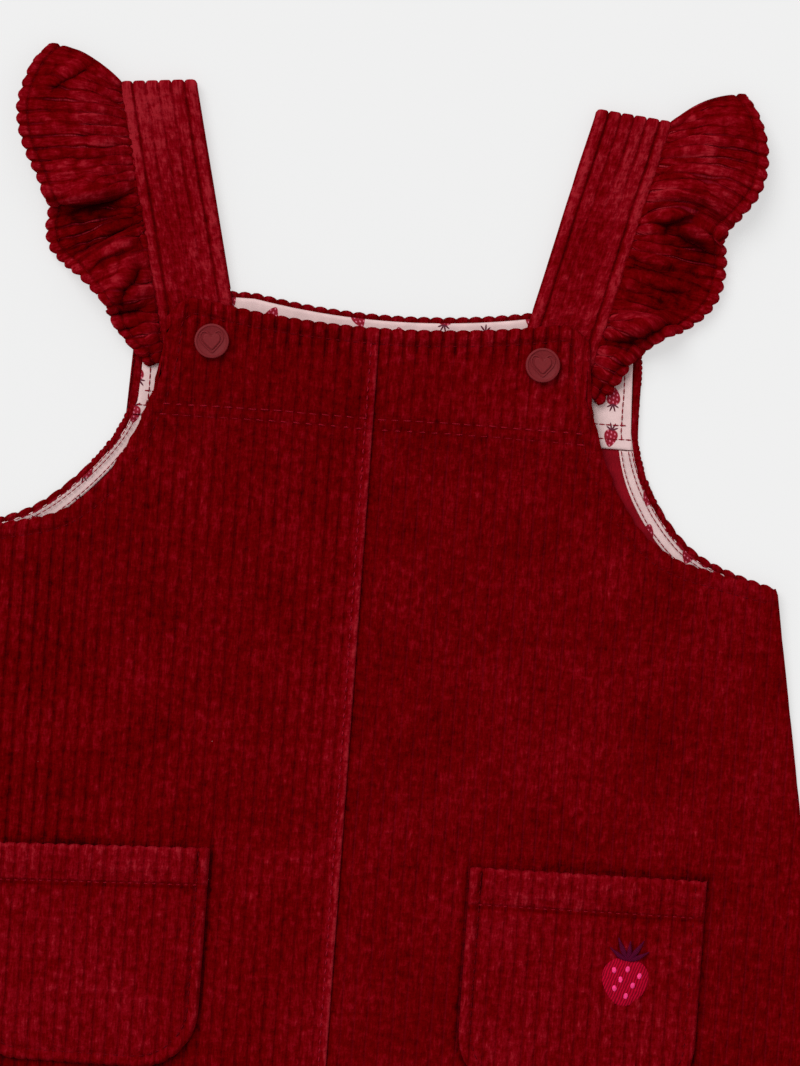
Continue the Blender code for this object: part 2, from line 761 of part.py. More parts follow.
def centre_on_origin(collection, parent):
    """Moves the whole so that the origin is under the middle of its outline."""
    bpy.context.view_layer.update()
    graph = bpy.context.evaluated_depsgraph_get()
    places = []
    for thing in (t for t in collection.objects if t.type != "EMPTY"):
        shown = thing.evaluated_get(graph)
        places += [shown.matrix_world @ vert.co for vert in shown.to_mesh().vertices]
        shown.to_mesh_clear()
    outs = [place.x for place in places]
    ups = [place.y for place in places]
    parent.location = (-(min(outs) + max(outs)) / 2, -(min(ups) + max(ups)) / 2, 0.0)


def build():
    clear_scene()
    collection = bpy.data.collections.new("pinafore_dress")
    bpy.context.scene.collection.children.link(collection)
    parent = bpy.data.objects.new("bib_line", None)
    collection.objects.link(parent)
    corduroy = cloth_material(*CORDUROY)
    cotton = cloth_material(*COTTON)
    rubber = cloth_material(*RUBBER)

    back_panel(corduroy, collection, parent)
    back_facing(cotton, collection, parent)
    for side, creases, folds, slope in (
        (1, RIGHT_CREASES, RIGHT_FOLDS, RIGHT_POCKET_SLOPE),
        (-1, LEFT_CREASES, LEFT_FOLDS, LEFT_POCKET_SLOPE),
    ):
        armhole_tape(side, cotton, collection, parent)
        front_panel(side, creases, corduroy, collection, parent)
        pocket(side, slope, corduroy, collection, parent)
        strap(side, corduroy, collection, parent)
        frill(side, folds, corduroy, collection, parent)
        button(side, rubber, collection, parent)
    centre_on_origin(collection, parent)


build()
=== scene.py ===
"""The looks of a baby's wide-wale corduroy pinafore dress, laid out flat and face up."""

import math
from collections import namedtuple

import bmesh
import bpy
import numpy as np
from mathutils import Matrix, Vector


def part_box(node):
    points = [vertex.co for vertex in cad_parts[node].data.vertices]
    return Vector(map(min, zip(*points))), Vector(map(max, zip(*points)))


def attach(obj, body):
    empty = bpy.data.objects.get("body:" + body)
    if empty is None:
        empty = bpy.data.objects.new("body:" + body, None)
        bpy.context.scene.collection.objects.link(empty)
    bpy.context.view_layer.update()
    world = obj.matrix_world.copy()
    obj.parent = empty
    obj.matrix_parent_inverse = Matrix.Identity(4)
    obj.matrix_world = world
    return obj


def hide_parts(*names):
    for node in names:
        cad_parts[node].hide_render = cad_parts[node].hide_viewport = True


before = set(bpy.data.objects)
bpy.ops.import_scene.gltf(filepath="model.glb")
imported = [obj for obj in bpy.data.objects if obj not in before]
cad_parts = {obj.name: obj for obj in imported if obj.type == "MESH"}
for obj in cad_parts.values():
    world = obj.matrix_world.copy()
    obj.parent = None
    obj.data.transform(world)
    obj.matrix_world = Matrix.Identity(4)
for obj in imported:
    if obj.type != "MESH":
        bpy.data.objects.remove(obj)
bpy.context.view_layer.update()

MM = 0.001

# Sizes as cut, from the front's middle seam outwards and from the bib line up.
WALE = 4.3 * MM
RIB = 0.9 * MM
WALL = 1.1 * MM
GAP = 0.3 * MM
SCALLOP = 0.6 * MM
NECK_DIP = 5.5 * MM
BIB_HALF = 71.2 * MM
BIB_CORNER = 10.5 * MM
BIB_CORNER_UP = 1.6 * MM
UNDERARM_UP = -81 * MM
HEM_OUT = 188 * MM
HEM_UP = -376 * MM
HEM_RISE = 14 * MM
YOKE_STITCHES = (-34.5 * MM, -38.0 * MM)
EDGE_STITCH = 5.5 * MM
SEAM_STITCH = 2.3 * MM
HEM_STITCH = 20 * MM

BACK_NECK_UP = 5.0 * MM
BACK_NECK_DIP = 4.2 * MM
BACK_NECK_HALF = 46 * MM
BACK_SHIFT = 3.9 * MM
BACK_SHIFT_SPAN = 50 * MM
BACK_PROUD = 1.2 * MM
BACK_TOP = 1.5 * MM  # the height of its upper side
TURNED_EDGE = 2.6 * MM  # how far the pile shows round its turned edge

STRAP_WALL = 2.4 * MM
STRAP_RIBS = 6
STRAP_WIDTH = 26.4 * MM
STRAP_LOW_OUT = 49.2 * MM
STRAP_LEAN = 0.243
SHOULDER_UP = 74.6 * MM
SHOULDER_SLANT = 2.6 * MM
STRAP_FRONT_END = -28 * MM
STRAP_TURN = 0.35 * MM

POCKET_IN = 43.5 * MM
POCKET_OUT = 122.6 * MM
POCKET_UP = -181 * MM
POCKET_DOWN = -256 * MM
POCKET_CORNER = 20 * MM
POCKET_BAND = 12.5 * MM
POCKET_BASE = 4.1 * MM
POCKET_SLOPES = {1: 0.012, -1: -0.045}

FACING_INSET = 2.2 * MM
FACING_DOWN = -38.5 * MM
FACING_LOW = 1.8 * MM
FACING_WALL = 1.0 * MM
TAPE_TOP = 3.6 * MM
TAPE_LOW = 5.8 * MM

BUTTON_OUT = 55.2 * MM
BUTTON_UP = -12.6 * MM
BUTTON_LOW = 8.1 * MM
BUTTON_RADIUS = 5.75 * MM
BUTTON_THICK = 2.4 * MM

FRILL_WALL = 1.0 * MM
FRILL_RIB = 0.75 * MM
FRILL_TAB = 1.3 * MM
FRILL_TUCK = 0.9 * MM  # its sewn edge goes in under the strap's
FRILL_BITE = 1.2 * MM
FRILL_BACK_LIFT = 1.9 * MM
FRILL_HEM = 4.0 * MM
GATHER = 0.8 * MM

# The place of the bib line in the frame, from the back panel's hem.
BIB_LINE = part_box("back")[0][1] - HEM_UP

# Where the columns of a sheet of cloth stand across one wale.
WALE_STOPS = (0.0, 0.07, 0.18, 0.38, 0.62, 0.82, 0.93)
BACK_WALE_STOPS = (0.0, 0.2, 0.5, 0.8)
# How far the rows next to an edge stand from it.
EDGE_ROWS = np.array([0, 0.3, 0.8, 1.5, 2.4, 3.4, 4.4, 5.0, 5.5, 6.0, 6.8, 8.2]) * MM
HEM_ROWS = np.array([0, 0.4, 1.2, 2.4]) * MM
YOKE_ROWS = np.arange(-42.0, -30.0, 0.8) * MM

ArmPoint = namedtuple("ArmPoint", "out up")
FRONT_ARMHOLE = (
    ArmPoint(71.3, -10),
    ArmPoint(72.2, -22),
    ArmPoint(76.0, -36),
    ArmPoint(82.5, -51),
    ArmPoint(91.0, -63.5),
    ArmPoint(102.0, -72.3),
    ArmPoint(118.0, -77.0),
    ArmPoint(139.0, -81.0),
)
BACK_ARMHOLE = (
    ArmPoint(77.0, 5.0),
    ArmPoint(81.5, 2.0),
    ArmPoint(84.4, -8),
    ArmPoint(83.7, -26),
    ArmPoint(88.3, -44.3),
    ArmPoint(97.6, -58.4),
    ArmPoint(112.0, -71.5),
    ArmPoint(124.0, -76.6),
    ArmPoint(139.0, -81.0),
)

Rest = namedtuple("Rest", "up height")
FRONT_REST = (
    Rest(-400, 1.8),
    Rest(-116, 1.8),
    Rest(-90, 3.1),
    Rest(-46, 3.1),
    Rest(-31, 5.8),
    Rest(20, 5.8),
)

# Soft troughs (-) and ridges (+): place, length, width and height in millimetres, turn in degrees.
Crease = namedtuple("Crease", "out up length width height turn")
CREASES = {
    1: (
        Crease(36, -318, 90, 17, 0.9, 5),
        Crease(88, -322, 84, 15, 0.8, 11),
        Crease(141, -318, 96, 16, 0.9, 14),
        Crease(104, -128, 60, 18, 0.7, -24),
        Crease(20, -120, 90, 16, 0.6, 4),
    ),
    -1: (
        Crease(28, -322, 80, 15, 0.8, 4),
        Crease(74, -312, 96, 17, 0.9, 8),
        Crease(128, -324, 88, 16, 0.9, 13),
        Crease(112, -132, 66, 20, 0.7, -20),
        Crease(30, -132, 80, 18, 0.6, 2),
    ),
}

# A frill's folds from the bib up over the shoulder and down the back, in millimetres: root is
# the place on the strap's edge, out and up the place of the frill's own edge, lift and crown
# the height of its inside there and in its middle, bow the curve of the wale between them.
Fold = namedtuple("Fold", "root out up lift crown bow")
FOLDS = {
    -1: (
        Fold(-19.5, 76.2, -23.0, 3.6, 0.0, 0.0),
        Fold(-15.0, 81.0, -18.0, 3.9, 1.6, 0.0),
        Fold(-10.5, 85.8, -13.2, 4.6, 3.2, 0.0),
        Fold(-6.0, 89.4, -8.6, 4.0, 2.4, 0.0),
        Fold(-2.6, 91.6, -5.0, 3.3, 0.4, 0.0),
        Fold(-0.4, 91.0, -4.2, 7.0, 3.0, 0.0),
        Fold(2.4, 93.4, -1.8, 9.4, 5.4, 0.0),
        Fold(7.0, 96.2, 0.8, 8.6, 5.4, 0.0),
        Fold(12.0, 99.0, 3.4, 8.4, 4.6, 0.0),
        Fold(17.0, 101.8, 5.8, 8.2, 4.2, 0.0),
        Fold(21.4, 104.0, 7.2, 6.4, 3.6, 0.5),
        Fold(24.4, 107.6, 9.8, 3.2, 0.8, 0.0),
        Fold(26.6, 112.0, 14.4, 2.8, 0.2, 0.0),
        Fold(28.8, 113.8, 20.0, 2.8, 0.2, 0.0),
        Fold(32.4, 113.6, 26.0, 2.9, 0.4, 0.0),
        Fold(35.6, 113.2, 30.2, 3.4, 0.8, -0.3),
        Fold(37.6, 113.4, 29.8, 7.4, 4.0, -1.0),
        Fold(39.4, 114.6, 31.0, 9.6, 5.8, -1.2),
        Fold(43.4, 117.4, 37.0, 9.2, 5.2, -0.6),
        Fold(49.0, 121.6, 44.6, 8.4, 4.6, 0.0),
        Fold(55.0, 124.8, 52.6, 7.8, 4.2, 0.5),
        Fold(61.0, 126.2, 61.0, 7.2, 3.8, 1.0),
        Fold(66.0, 124.8, 69.0, 6.2, 3.0, 1.6),
        Fold(69.6, 121.6, 77.0, 4.6, 1.6, 2.4),
    ),
    1: (
        Fold(-20.5, 75.4, -25.0, 3.6, 0.0, 0.0),
        Fold(-16.0, 79.4, -20.0, 3.9, 1.4, 0.0),
        Fold(-11.0, 82.8, -14.6, 4.6, 3.0, 0.0),
        Fold(-6.0, 86.2, -8.6, 4.8, 3.4, 0.0),
        Fold(-2.0, 89.6, -4.6, 3.6, 0.8, 0.0),
        Fold(1.0, 92.4, -2.8, 6.6, 3.2, 0.6),
        Fold(3.8, 97.0, -0.2, 8.8, 5.6, 2.2),
        Fold(7.0, 101.4, 1.8, 4.6, 1.6, 1.5),
        Fold(10.5, 105.0, 4.4, 3.6, 0.6, 0.5),
        Fold(14.5, 108.6, 7.6, 3.4, 0.4, 0.0),
        Fold(19.0, 111.6, 11.6, 3.2, 0.4, 0.0),
        Fold(24.0, 113.8, 17.6, 3.0, 0.4, 0.0),
        Fold(28.5, 114.4, 23.8, 3.0, 0.6, 0.0),
        Fold(31.5, 114.2, 28.8, 3.4, 1.0, 0.5),
        Fold(34.0, 113.2, 32.6, 5.4, 2.6, 1.5),
        Fold(36.6, 112.6, 34.6, 9.0, 6.0, 3.6),
        Fold(39.0, 113.8, 36.0, 6.6, 3.0, 4.0),
        Fold(42.2, 115.0, 37.6, 5.4, 2.0, 4.0),
        Fold(45.4, 117.2, 40.0, 7.8, 4.2, 4.2),
        Fold(48.4, 119.6, 43.2, 9.0, 5.4, 3.8),
        Fold(52.0, 122.2, 46.8, 8.6, 5.0, 3.0),
        Fold(56.0, 124.6, 52.4, 7.8, 4.4, 2.4),
        Fold(60.0, 125.6, 58.4, 7.2, 4.0, 2.0),
        Fold(64.0, 125.2, 64.8, 6.6, 3.4, 2.0),
        Fold(67.4, 123.8, 70.8, 5.6, 2.8, 2.2),
        Fold(69.8, 121.0, 77.0, 4.2, 1.4, 2.6),
    ),
}
BACK_FOLDS = (
    Fold(70.2, 117.6, 81.8, 2.25, 0.0, 2.8),
    Fold(69.4, 120.6, 75.4, 1.9, 0.0, 1.8),
    Fold(61.0, 122.8, 63.0, 1.9, 0.0, 0.0),
    Fold(49.0, 120.6, 49.0, 1.9, 0.0, 0.0),
    Fold(37.0, 114.4, 36.0, 1.9, 0.0, 0.0),
    Fold(25.0, 108.6, 23.6, 1.9, 0.0, 0.0),
    Fold(15.0, 100.0, 13.4, 1.9, 0.0, 0.0),
    Fold(8.6, 86.0, 8.2, 1.9, 0.0, 0.0),
)

# A frill's sharp pleats, ridges with a valley of painted shade on their lower side, and the place where
# its pile is smooth: place, length, width, height and radius in millimetres, turn in degrees, and
# the strength of the valley's painted shade.
Pleat = namedtuple("Pleat", "out up length width height turn shade")
PLEATS = {
    1: (
        Pleat(95.4, 41.2, 18, 1.9, 2.6, 4, 1.00),
        Pleat(104.4, 34.4, 17, 1.9, 2.4, -36, 0.95),
        Pleat(91.6, 37.6, 9, 1.3, 1.2, 52, 0.40),
        Pleat(88.6, 3.4, 25, 1.9, 2.2, 14, 0.80),
        Pleat(84.0, -6.6, 15, 1.5, 1.4, 24, 0.50),
        Pleat(96.0, 18.0, 22, 1.6, 1.0, -12, 0.30),
        Pleat(100.0, 55.0, 26, 1.7, 0.9, -4, 0.25),
    ),
    -1: (
        Pleat(97.0, 33.6, 28, 2.0, 2.5, -25, 1.00),
        Pleat(90.0, 24.0, 19, 1.6, 1.5, -46, 0.45),
        Pleat(91.0, 15.0, 20, 1.6, 1.6, -40, 0.45),
        Pleat(86.6, 4.6, 17, 1.8, 2.0, -74, 0.85),
        Pleat(84.6, -8.6, 14, 1.5, 1.3, -28, 0.45),
        Pleat(104.0, 46.6, 26, 1.7, 1.1, -12, 0.30),
        Pleat(110.0, 72.6, 22, 1.6, 1.0, -44, 0.55),
    ),
}
Spot = namedtuple("Spot", "out up radius")
SMOOTH_SPOTS = {1: Spot(124, 74, 8), -1: Spot(120, 76, 11)}

# Colours, in linear light. The pile's run from the painted shade of its grooves to its brushed tips.
PileShade = namedtuple("PileShade", "place colour")
PILE_SHADES = (
    PileShade(0.0, (0.030, 0.00005, 0.0003)),
    PileShade(0.25, (0.080, 0.00010, 0.0004)),
    PileShade(0.5, (0.122, 0.00020, 0.0009)),
    PileShade(0.75, (0.190, 0.00150, 0.0052)),
    PileShade(1.0, (0.300, 0.01200, 0.0190)),
)
GROOVE_LINE = (0.150, 0.0022, 0.0085)
LADDER_PINK = (0.340, 0.0220, 0.0300)
LINT = (0.36, 0.14, 0.14)
WRONG_SIDE = (0.210, 0.0038, 0.0092)
THREAD_RED = (0.260, 0.0045, 0.0130)
COTTON_PINK = (0.710, 0.510, 0.500)
PRINT_RED = (0.260, 0.0080, 0.0200)
PRINT_DOT = (0.620, 0.1400, 0.2100)
PRINT_PLUM = (0.100, 0.0150, 0.0300)
THREAD_DARK = (0.130, 0.0010, 0.0040)
BERRY_RED = (0.330, 0.0005, 0.0150)
SEED_PINK = (1.000, 0.050, 0.240)
LEAF_PLUM = (0.080, 0.0002, 0.0180)
BUTTON_RED = (0.162, 0.0110, 0.0143)
FLOOR_PALE = (0.320, 0.320, 0.320)
FLOOR_GLOW = 0.538

# How the pile of each piece has been brushed, and the painted shade in its grooves: its tone over the
# usual, how dark the painted groove shade is and how much of the bare line in them shows.
Nap = namedtuple("Nap", "tone dark line")
RIGHT_NAP_AND_SHADE = Nap(-0.01, 0.12, 0.38)
LEFT_NAP_AND_SHADE = Nap(0.01, 0.26, 0.15)
BIB_NAP_AND_SHADE = Nap(0.01, 0.24, 0.10)
BACK_NAP_AND_SHADE = Nap(0.06, 0.60, 0.30)
POCKET_NAP_AND_SHADE = Nap(0.11, 0.26, 0.25)
STRAP_NAP_AND_SHADE = Nap(0.23, 0.20, 0.10)
FRILL_NAP_AND_SHADE = Nap(0.18, 0.70, 0.00)


# ---- shapes shared by the pieces ----


def smooth_step(share):
    share = np.clip(share, 0.0, 1.0)
    return share * share * (3 - 2 * share)


def smooth_curve(rows, steps):
    """Points along a smooth curve through the rows, every column carried with the same weight."""
    knots = np.array(rows, float)
    spans = np.linalg.norm(np.diff(knots[:, :3], axis=0), axis=1) + 1e-9
    places = np.concatenate([[0], np.cumsum(spans)])
    slopes = np.gradient(knots, places, axis=0)
    made = []
    for i, span in enumerate(spans):
        for step in range(steps):
            t = step / steps
            made.append(
                (2 * t**3 - 3 * t**2 + 1) * knots[i]
                + (t**3 - 2 * t**2 + t) * span * slopes[i]
                + (3 * t**2 - 2 * t**3) * knots[i + 1]
                + (t**3 - t**2) * span * slopes[i + 1]
            )
    made.append(knots[-1])
    return np.array(made)


def soft_noise(x, y, size, seed):
    """Smooth values from -1 to 1 that wander over about the given size."""
    table = np.random.default_rng(seed).uniform(-1.0, 1.0, (251, 251))
    u, v = x / size, y / size
    i, j = np.floor(u).astype(int), np.floor(v).astype(int)
    a, b = smooth_step(u - i), smooth_step(v - j)
    low = table[i % 251, j % 251] * (1 - a) + table[(i + 1) % 251, j % 251] * a
    high = table[i % 251, (j + 1) % 251] * (1 - a) + table[(i + 1) % 251, (j + 1) % 251] * a
    return low * (1 - b) + high * b


def near(distance, place, width):
    """1 at a place and 0 well away from it."""
    return np.exp(-(((distance - place) / width) ** 2))


def distance_to(line, x, y):
    """How far each point lies from a line of points."""
    best = np.full(np.shape(x), 1.0)
    for (x0, y0), (x1, y1) in zip(line[:-1], line[1:], strict=True):
        run = (x1 - x0) ** 2 + (y1 - y0) ** 2
        if run > 1e-14:
            share = np.clip(((x - x0) * (x1 - x0) + (y - y0) * (y1 - y0)) / run, 0, 1)
            gap = np.hypot(x - x0 - share * (x1 - x0), y - y0 - share * (y1 - y0))
            best = np.minimum(best, gap)
    return best


def rounded(distance, radius):
    """0 at an edge, rising like a quarter of a round to 1 at a radius from it."""
    share = np.clip(distance / radius, 0.0, 1.0)
    return np.sqrt(1 - (1 - share) ** 2)


def in_wale(across):
    """How near the middle of its wale a place is: 0 in a groove, 1 on the middle."""
    return 1 - np.abs(2 * (across / WALE % 1.0) - 1)


def pile_height(middle, across, along, seed, crush=1.0, flat=3.4):
    """The pile's height, 0 in a groove and about 1 on a rib, crushed here and there."""
    height = 1 - (1 - middle) ** flat
    lumps = 0.20 * soft_noise(across, along, 3.2 * MM, seed)
    lumps = lumps + 0.14 * soft_noise(across, along, 1.9 * MM, seed + 2)
    lumps = lumps + 0.12 * soft_noise(across, along, 8.0 * MM, seed + 1)
    return height * (1 + crush * lumps * height)


def brushing_and_shade(nap_and_shade, tone, dark=0.0, line=0.0):
    """The brushing of the pile and the painted light and shade at each point of a piece, as changes to the piece's
    own.
    """
    values = (nap_and_shade.tone + tone, nap_and_shade.dark + dark, nap_and_shade.line + line)
    return np.stack([value + 0 * tone for value in values], axis=1)


def wale_columns(width, stops):
    """Places of a sheet's columns across its wales, the last at its width."""
    places = [(k + stop) * WALE for k in range(int(width / WALE) + 1) for stop in stops]
    return np.array([*(p for p in places if p < width - 0.3 * MM), width])


def cloth_grid(name, columns, rows, shape, flip, merge=True):
    """A sheet of columns by rows put where shape(column, row) says.

    shape gives each point's place, its place on the cloth (across and along the wales, and how
    near the middle of its wale it is), the brushing of its pile with its painted light and shade,
    and its share of the wall.
    """
    bm = bmesh.new()
    bmesh.ops.create_grid(bm, x_segments=columns - 1, y_segments=rows - 1, size=1.0)
    if flip:
        bmesh.ops.reverse_faces(bm, faces=bm.faces)
    mesh = bpy.data.meshes.new(name)
    bm.to_mesh(mesh)
    start = np.empty(len(mesh.vertices) * 3)
    mesh.vertices.foreach_get("co", start)
    start = start.reshape(-1, 3)
    column = np.rint((start[:, 0] + 1) / 2 * (columns - 1)).astype(int)
    row = np.rint((start[:, 1] + 1) / 2 * (rows - 1)).astype(int)
    place, cloth, nap_and_shade, wall = shape(column, row)
    mesh.vertices.foreach_set("co", np.ascontiguousarray(place + [0, BIB_LINE, 0]).ravel())
    for label, values in (("cloth", cloth), ("nap_and_shade", nap_and_shade)):
        layer = mesh.attributes.new(label, "FLOAT_VECTOR", "POINT")
        layer.data.foreach_set("vector", np.ascontiguousarray(values).ravel())
    bm.clear()
    bm.from_mesh(mesh)
    weights = bm.verts.layers.deform.verify()
    for vert, share in zip(bm.verts, wall.tolist(), strict=True):
        vert[weights][0] = share
    if merge:
        bmesh.ops.remove_doubles(bm, verts=bm.verts, dist=0.02 * MM)
    for face in bm.faces:
        face.smooth = True
    bm.to_mesh(mesh)
    bm.free()
    return mesh


def cloth_piece(name, mesh, thick, materials, node):
    """A sheet given its wall outwards from its plain inside, standing for a solid of the part.

    Its materials are that of the outside and, if there are more, that of the inside after it.
    """
    thing = bpy.data.objects.new(name, mesh)
    bpy.context.scene.collection.objects.link(thing)
    for material in materials:
        mesh.materials.append(material)
    thing.vertex_groups.new(name="wall")
    wall = thing.modifiers.new("wall", "SOLIDIFY")
    wall.thickness = thick
    wall.offset = 1.0
    wall.vertex_group = "wall"
    wall.thickness_vertex_group = 0.0
    wall.material_offset = min(len(materials) - 1, 1)
    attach(thing, "root")
    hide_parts(node)
    return thing


# ---- the front ----


def front_top_line():
    """Half of the front's upper edge: neckline, rounded corner, armhole and side seam."""
    points = []
    reach = BIB_HALF - BIB_CORNER
    for step in range(13):
        out = reach * step / 12
        points.append((out, BIB_CORNER_UP - NECK_DIP * (1 - (out / reach) ** 2)))
    for step in range(1, 13):
        angle = math.pi / 2 * (1 - step / 12)
        corner_up = BIB_CORNER_UP - BIB_CORNER * (1 - math.sin(angle))
        points.append((reach + BIB_CORNER * math.cos(angle), corner_up))
    arm = smooth_curve([(p.out * MM, p.up * MM) for p in FRONT_ARMHOLE], 8)
    points += [tuple(p) for p in arm if p[0] > BIB_HALF + 0.05 * MM]
    points.append((HEM_OUT, HEM_UP + HEM_RISE))
    return np.array(points)


FRONT_TOP = front_top_line()
FRONT_EDGE = FRONT_TOP[:-1]  # neckline and armhole, stitched
FRONT_SIDE = FRONT_TOP[-2:]  # the side seam


def hem_at(out):
    return HEM_UP + HEM_RISE * (out / HEM_OUT) ** 2


def front_rest(up):
    """How high the front's inside lies, its slopes a little softened."""
    table = np.array(FRONT_REST) * MM
    steps = np.linspace(-4, 4, 5) * MM
    return np.mean([np.interp(up + step, table[:, 0], table[:, 1]) for step in steps], axis=0)


def crease_height(creases, out, up):
    total = np.zeros(np.shape(out))
    for crease in creases:
        turn = math.radians(crease.turn)
        across = out - crease.out * MM
        along = up - crease.up * MM
        run = (along * math.cos(turn) - across * math.sin(turn)) / (crease.length * MM / 2)
        side = (across * math.cos(turn) + along * math.sin(turn)) / (crease.width * MM / 2)
        fade = np.clip(1 - run**2, 0, 1) ** 2 * np.clip(1 - side**2, 0, 1) ** 2
        total = total + crease.height * MM * fade
    return total


def ragged(edge, up, seed):
    """How far the tufts along a steep edge stand out or in."""
    tufts = soft_noise(up, 0 * up, 2.1 * MM, seed) + 0.5 * soft_noise(up, 0 * up, 1.1 * MM, seed + 1)
    return 0.42 * MM * tufts * near(edge, 0.0, 1.6 * MM)


def neck_fingers(out, up, edge):
    """Where the pile stands in rolls below the neckline's edge."""
    beside_corner = smooth_step((BIB_HALF - 3 * MM - out) / (6 * MM))
    return smooth_step((10.5 * MM - edge) / (2.5 * MM)) * beside_corner * (up > -16 * MM)


def front_relief(side, out, up):
    """The front's thickness over its inside, and the pile's height, at places on it."""
    edge = distance_to(FRONT_EDGE, out, up)
    seam = distance_to(FRONT_SIDE, out, up)
    hem = up - hem_at(out)
    middle = in_wale(out - GAP / 2)
    pile = pile_height(middle, out, up, 11 if side > 0 else 31)
    stitched = 0.55 * near(edge, EDGE_STITCH, 0.9 * MM)
    for row in YOKE_STITCHES:
        stitched = stitched + 0.55 * near(up, row, 0.8 * MM)
    stitched = stitched + 0.4 * near(hem, HEM_STITCH, 0.9 * MM)
    if side < 0:
        stitched = stitched + 0.45 * near(out, SEAM_STITCH, 0.7 * MM)
    neck = neck_fingers(out, up, edge)
    closed = (0.42 if side > 0 else 0.28) + 0.10 * soft_noise(out, up, 24 * MM, 55 + side)
    closed = closed * (1 - neck) * (1 - 0.6 * near(edge, 0.0, 5 * MM))
    if side < 0:
        closed = closed * (1 - 0.7 * smooth_step((out - 80 * MM) / (30 * MM)))
    pile = pile + (0.85 - pile) * closed
    pile = pile * (1 - np.clip(stitched, 0, 0.75))
    wall = WALL + RIB * pile - 0.35 * MM * np.clip(stitched, 0, 1)
    wall = wall + 0.35 * MM * near(edge, 2.6 * MM, 1.8 * MM)
    wall = wall + 0.12 * MM * soft_noise(out, up, 14 * MM, 51 + side)
    wall = wall - 0.4 * MM * neck * (1 - middle) ** 2
    if side < 0:
        wall = wall + 0.75 * MM * near(out, 0.5 * MM, 1.0 * MM)
    else:
        wall = wall - 0.70 * MM * near(out, 0.0, 1.8 * MM)
    low = 0.35 * MM
    soft_edge = rounded(edge, 2.0 * MM) * rounded(seam, 1.8 * MM) * rounded(hem, 1.6 * MM)
    soft_edge = soft_edge * (0.35 + 0.65 * rounded(out - GAP / 2 + 0.1 * MM, 0.9 * MM))
    return low + (wall - low) * soft_edge, middle


def front_surface(side, out, up):
    """The height of the front's outer side."""
    inside = front_rest(up) + crease_height(CREASES[side], out, up)
    return inside + front_relief(side, out, up)[0]


def front_nap_and_shade(side, out, up):
    """How the front's pile lies: brushed flat on the right, standing on the left and the bib.

    It also carries painted shade in the grooves, round the pocket and right of the middle seam,
    and a painted highlight on the seam's ridge on the left.
    """
    own, bib = np.array(RIGHT_NAP_AND_SHADE if side > 0 else LEFT_NAP_AND_SHADE), np.array(BIB_NAP_AND_SHADE)
    on_bib = smooth_step((up + 38 * MM) / (5 * MM))[:, None]
    values = own * (1 - on_bib) + bib * on_bib
    values[:, 0] += 0.04 * side * on_bib[:, 0]
    edge = distance_to(FRONT_EDGE, out, up)
    neck = neck_fingers(out, up, edge)
    values[:, 0] += 0.05 * soft_noise(side * out, up, 26 * MM, 101)
    values[:, 0] += 0.08 * near(edge, 2.6 * MM, 1.8 * MM)
    # Painted shade in the grooves, deeper in the rolls below the neckline.
    values[:, 1] += 0.45 * neck + 0.12 * soft_noise(side * out, up, 34 * MM, 102)
    values[:, 2] += 0.15 * soft_noise(side * out, up, 28 * MM, 103)
    # Painted shadow round the pocket's edge.
    values[:, 0] -= 0.38 * near(distance_to(pocket_outline(side), out, up), 0.0, 1.3 * MM)
    if side < 0:
        # Deeper painted shade in the grooves towards the left side.
        values[:, 1] += 0.22 * smooth_step((out - 80 * MM) / (30 * MM))
        # Painted highlight on the ridge of the middle seam.
        values[:, 0] += 0.10 * near(out, 1.5 * MM, 5 * MM) + 0.42 * near(out, 0.5 * MM, 0.5 * MM)
    else:
        # Painted shadow right of the middle seam's ridge.
        values[:, 0] -= 0.24 * near(out, 0.4 * MM, 1.6 * MM)
    return values


def pocket_outline(side):
    """The line on the front that its pocket's edge lies on."""
    width = POCKET_OUT - POCKET_IN
    corners = ([0, POCKET_UP], [width, POCKET_UP + POCKET_SLOPES[side] * width])
    round_it = np.concatenate([[corners[0]], pocket_low_line(width), [corners[1]], [corners[0]]])
    return round_it + [POCKET_IN, 0]


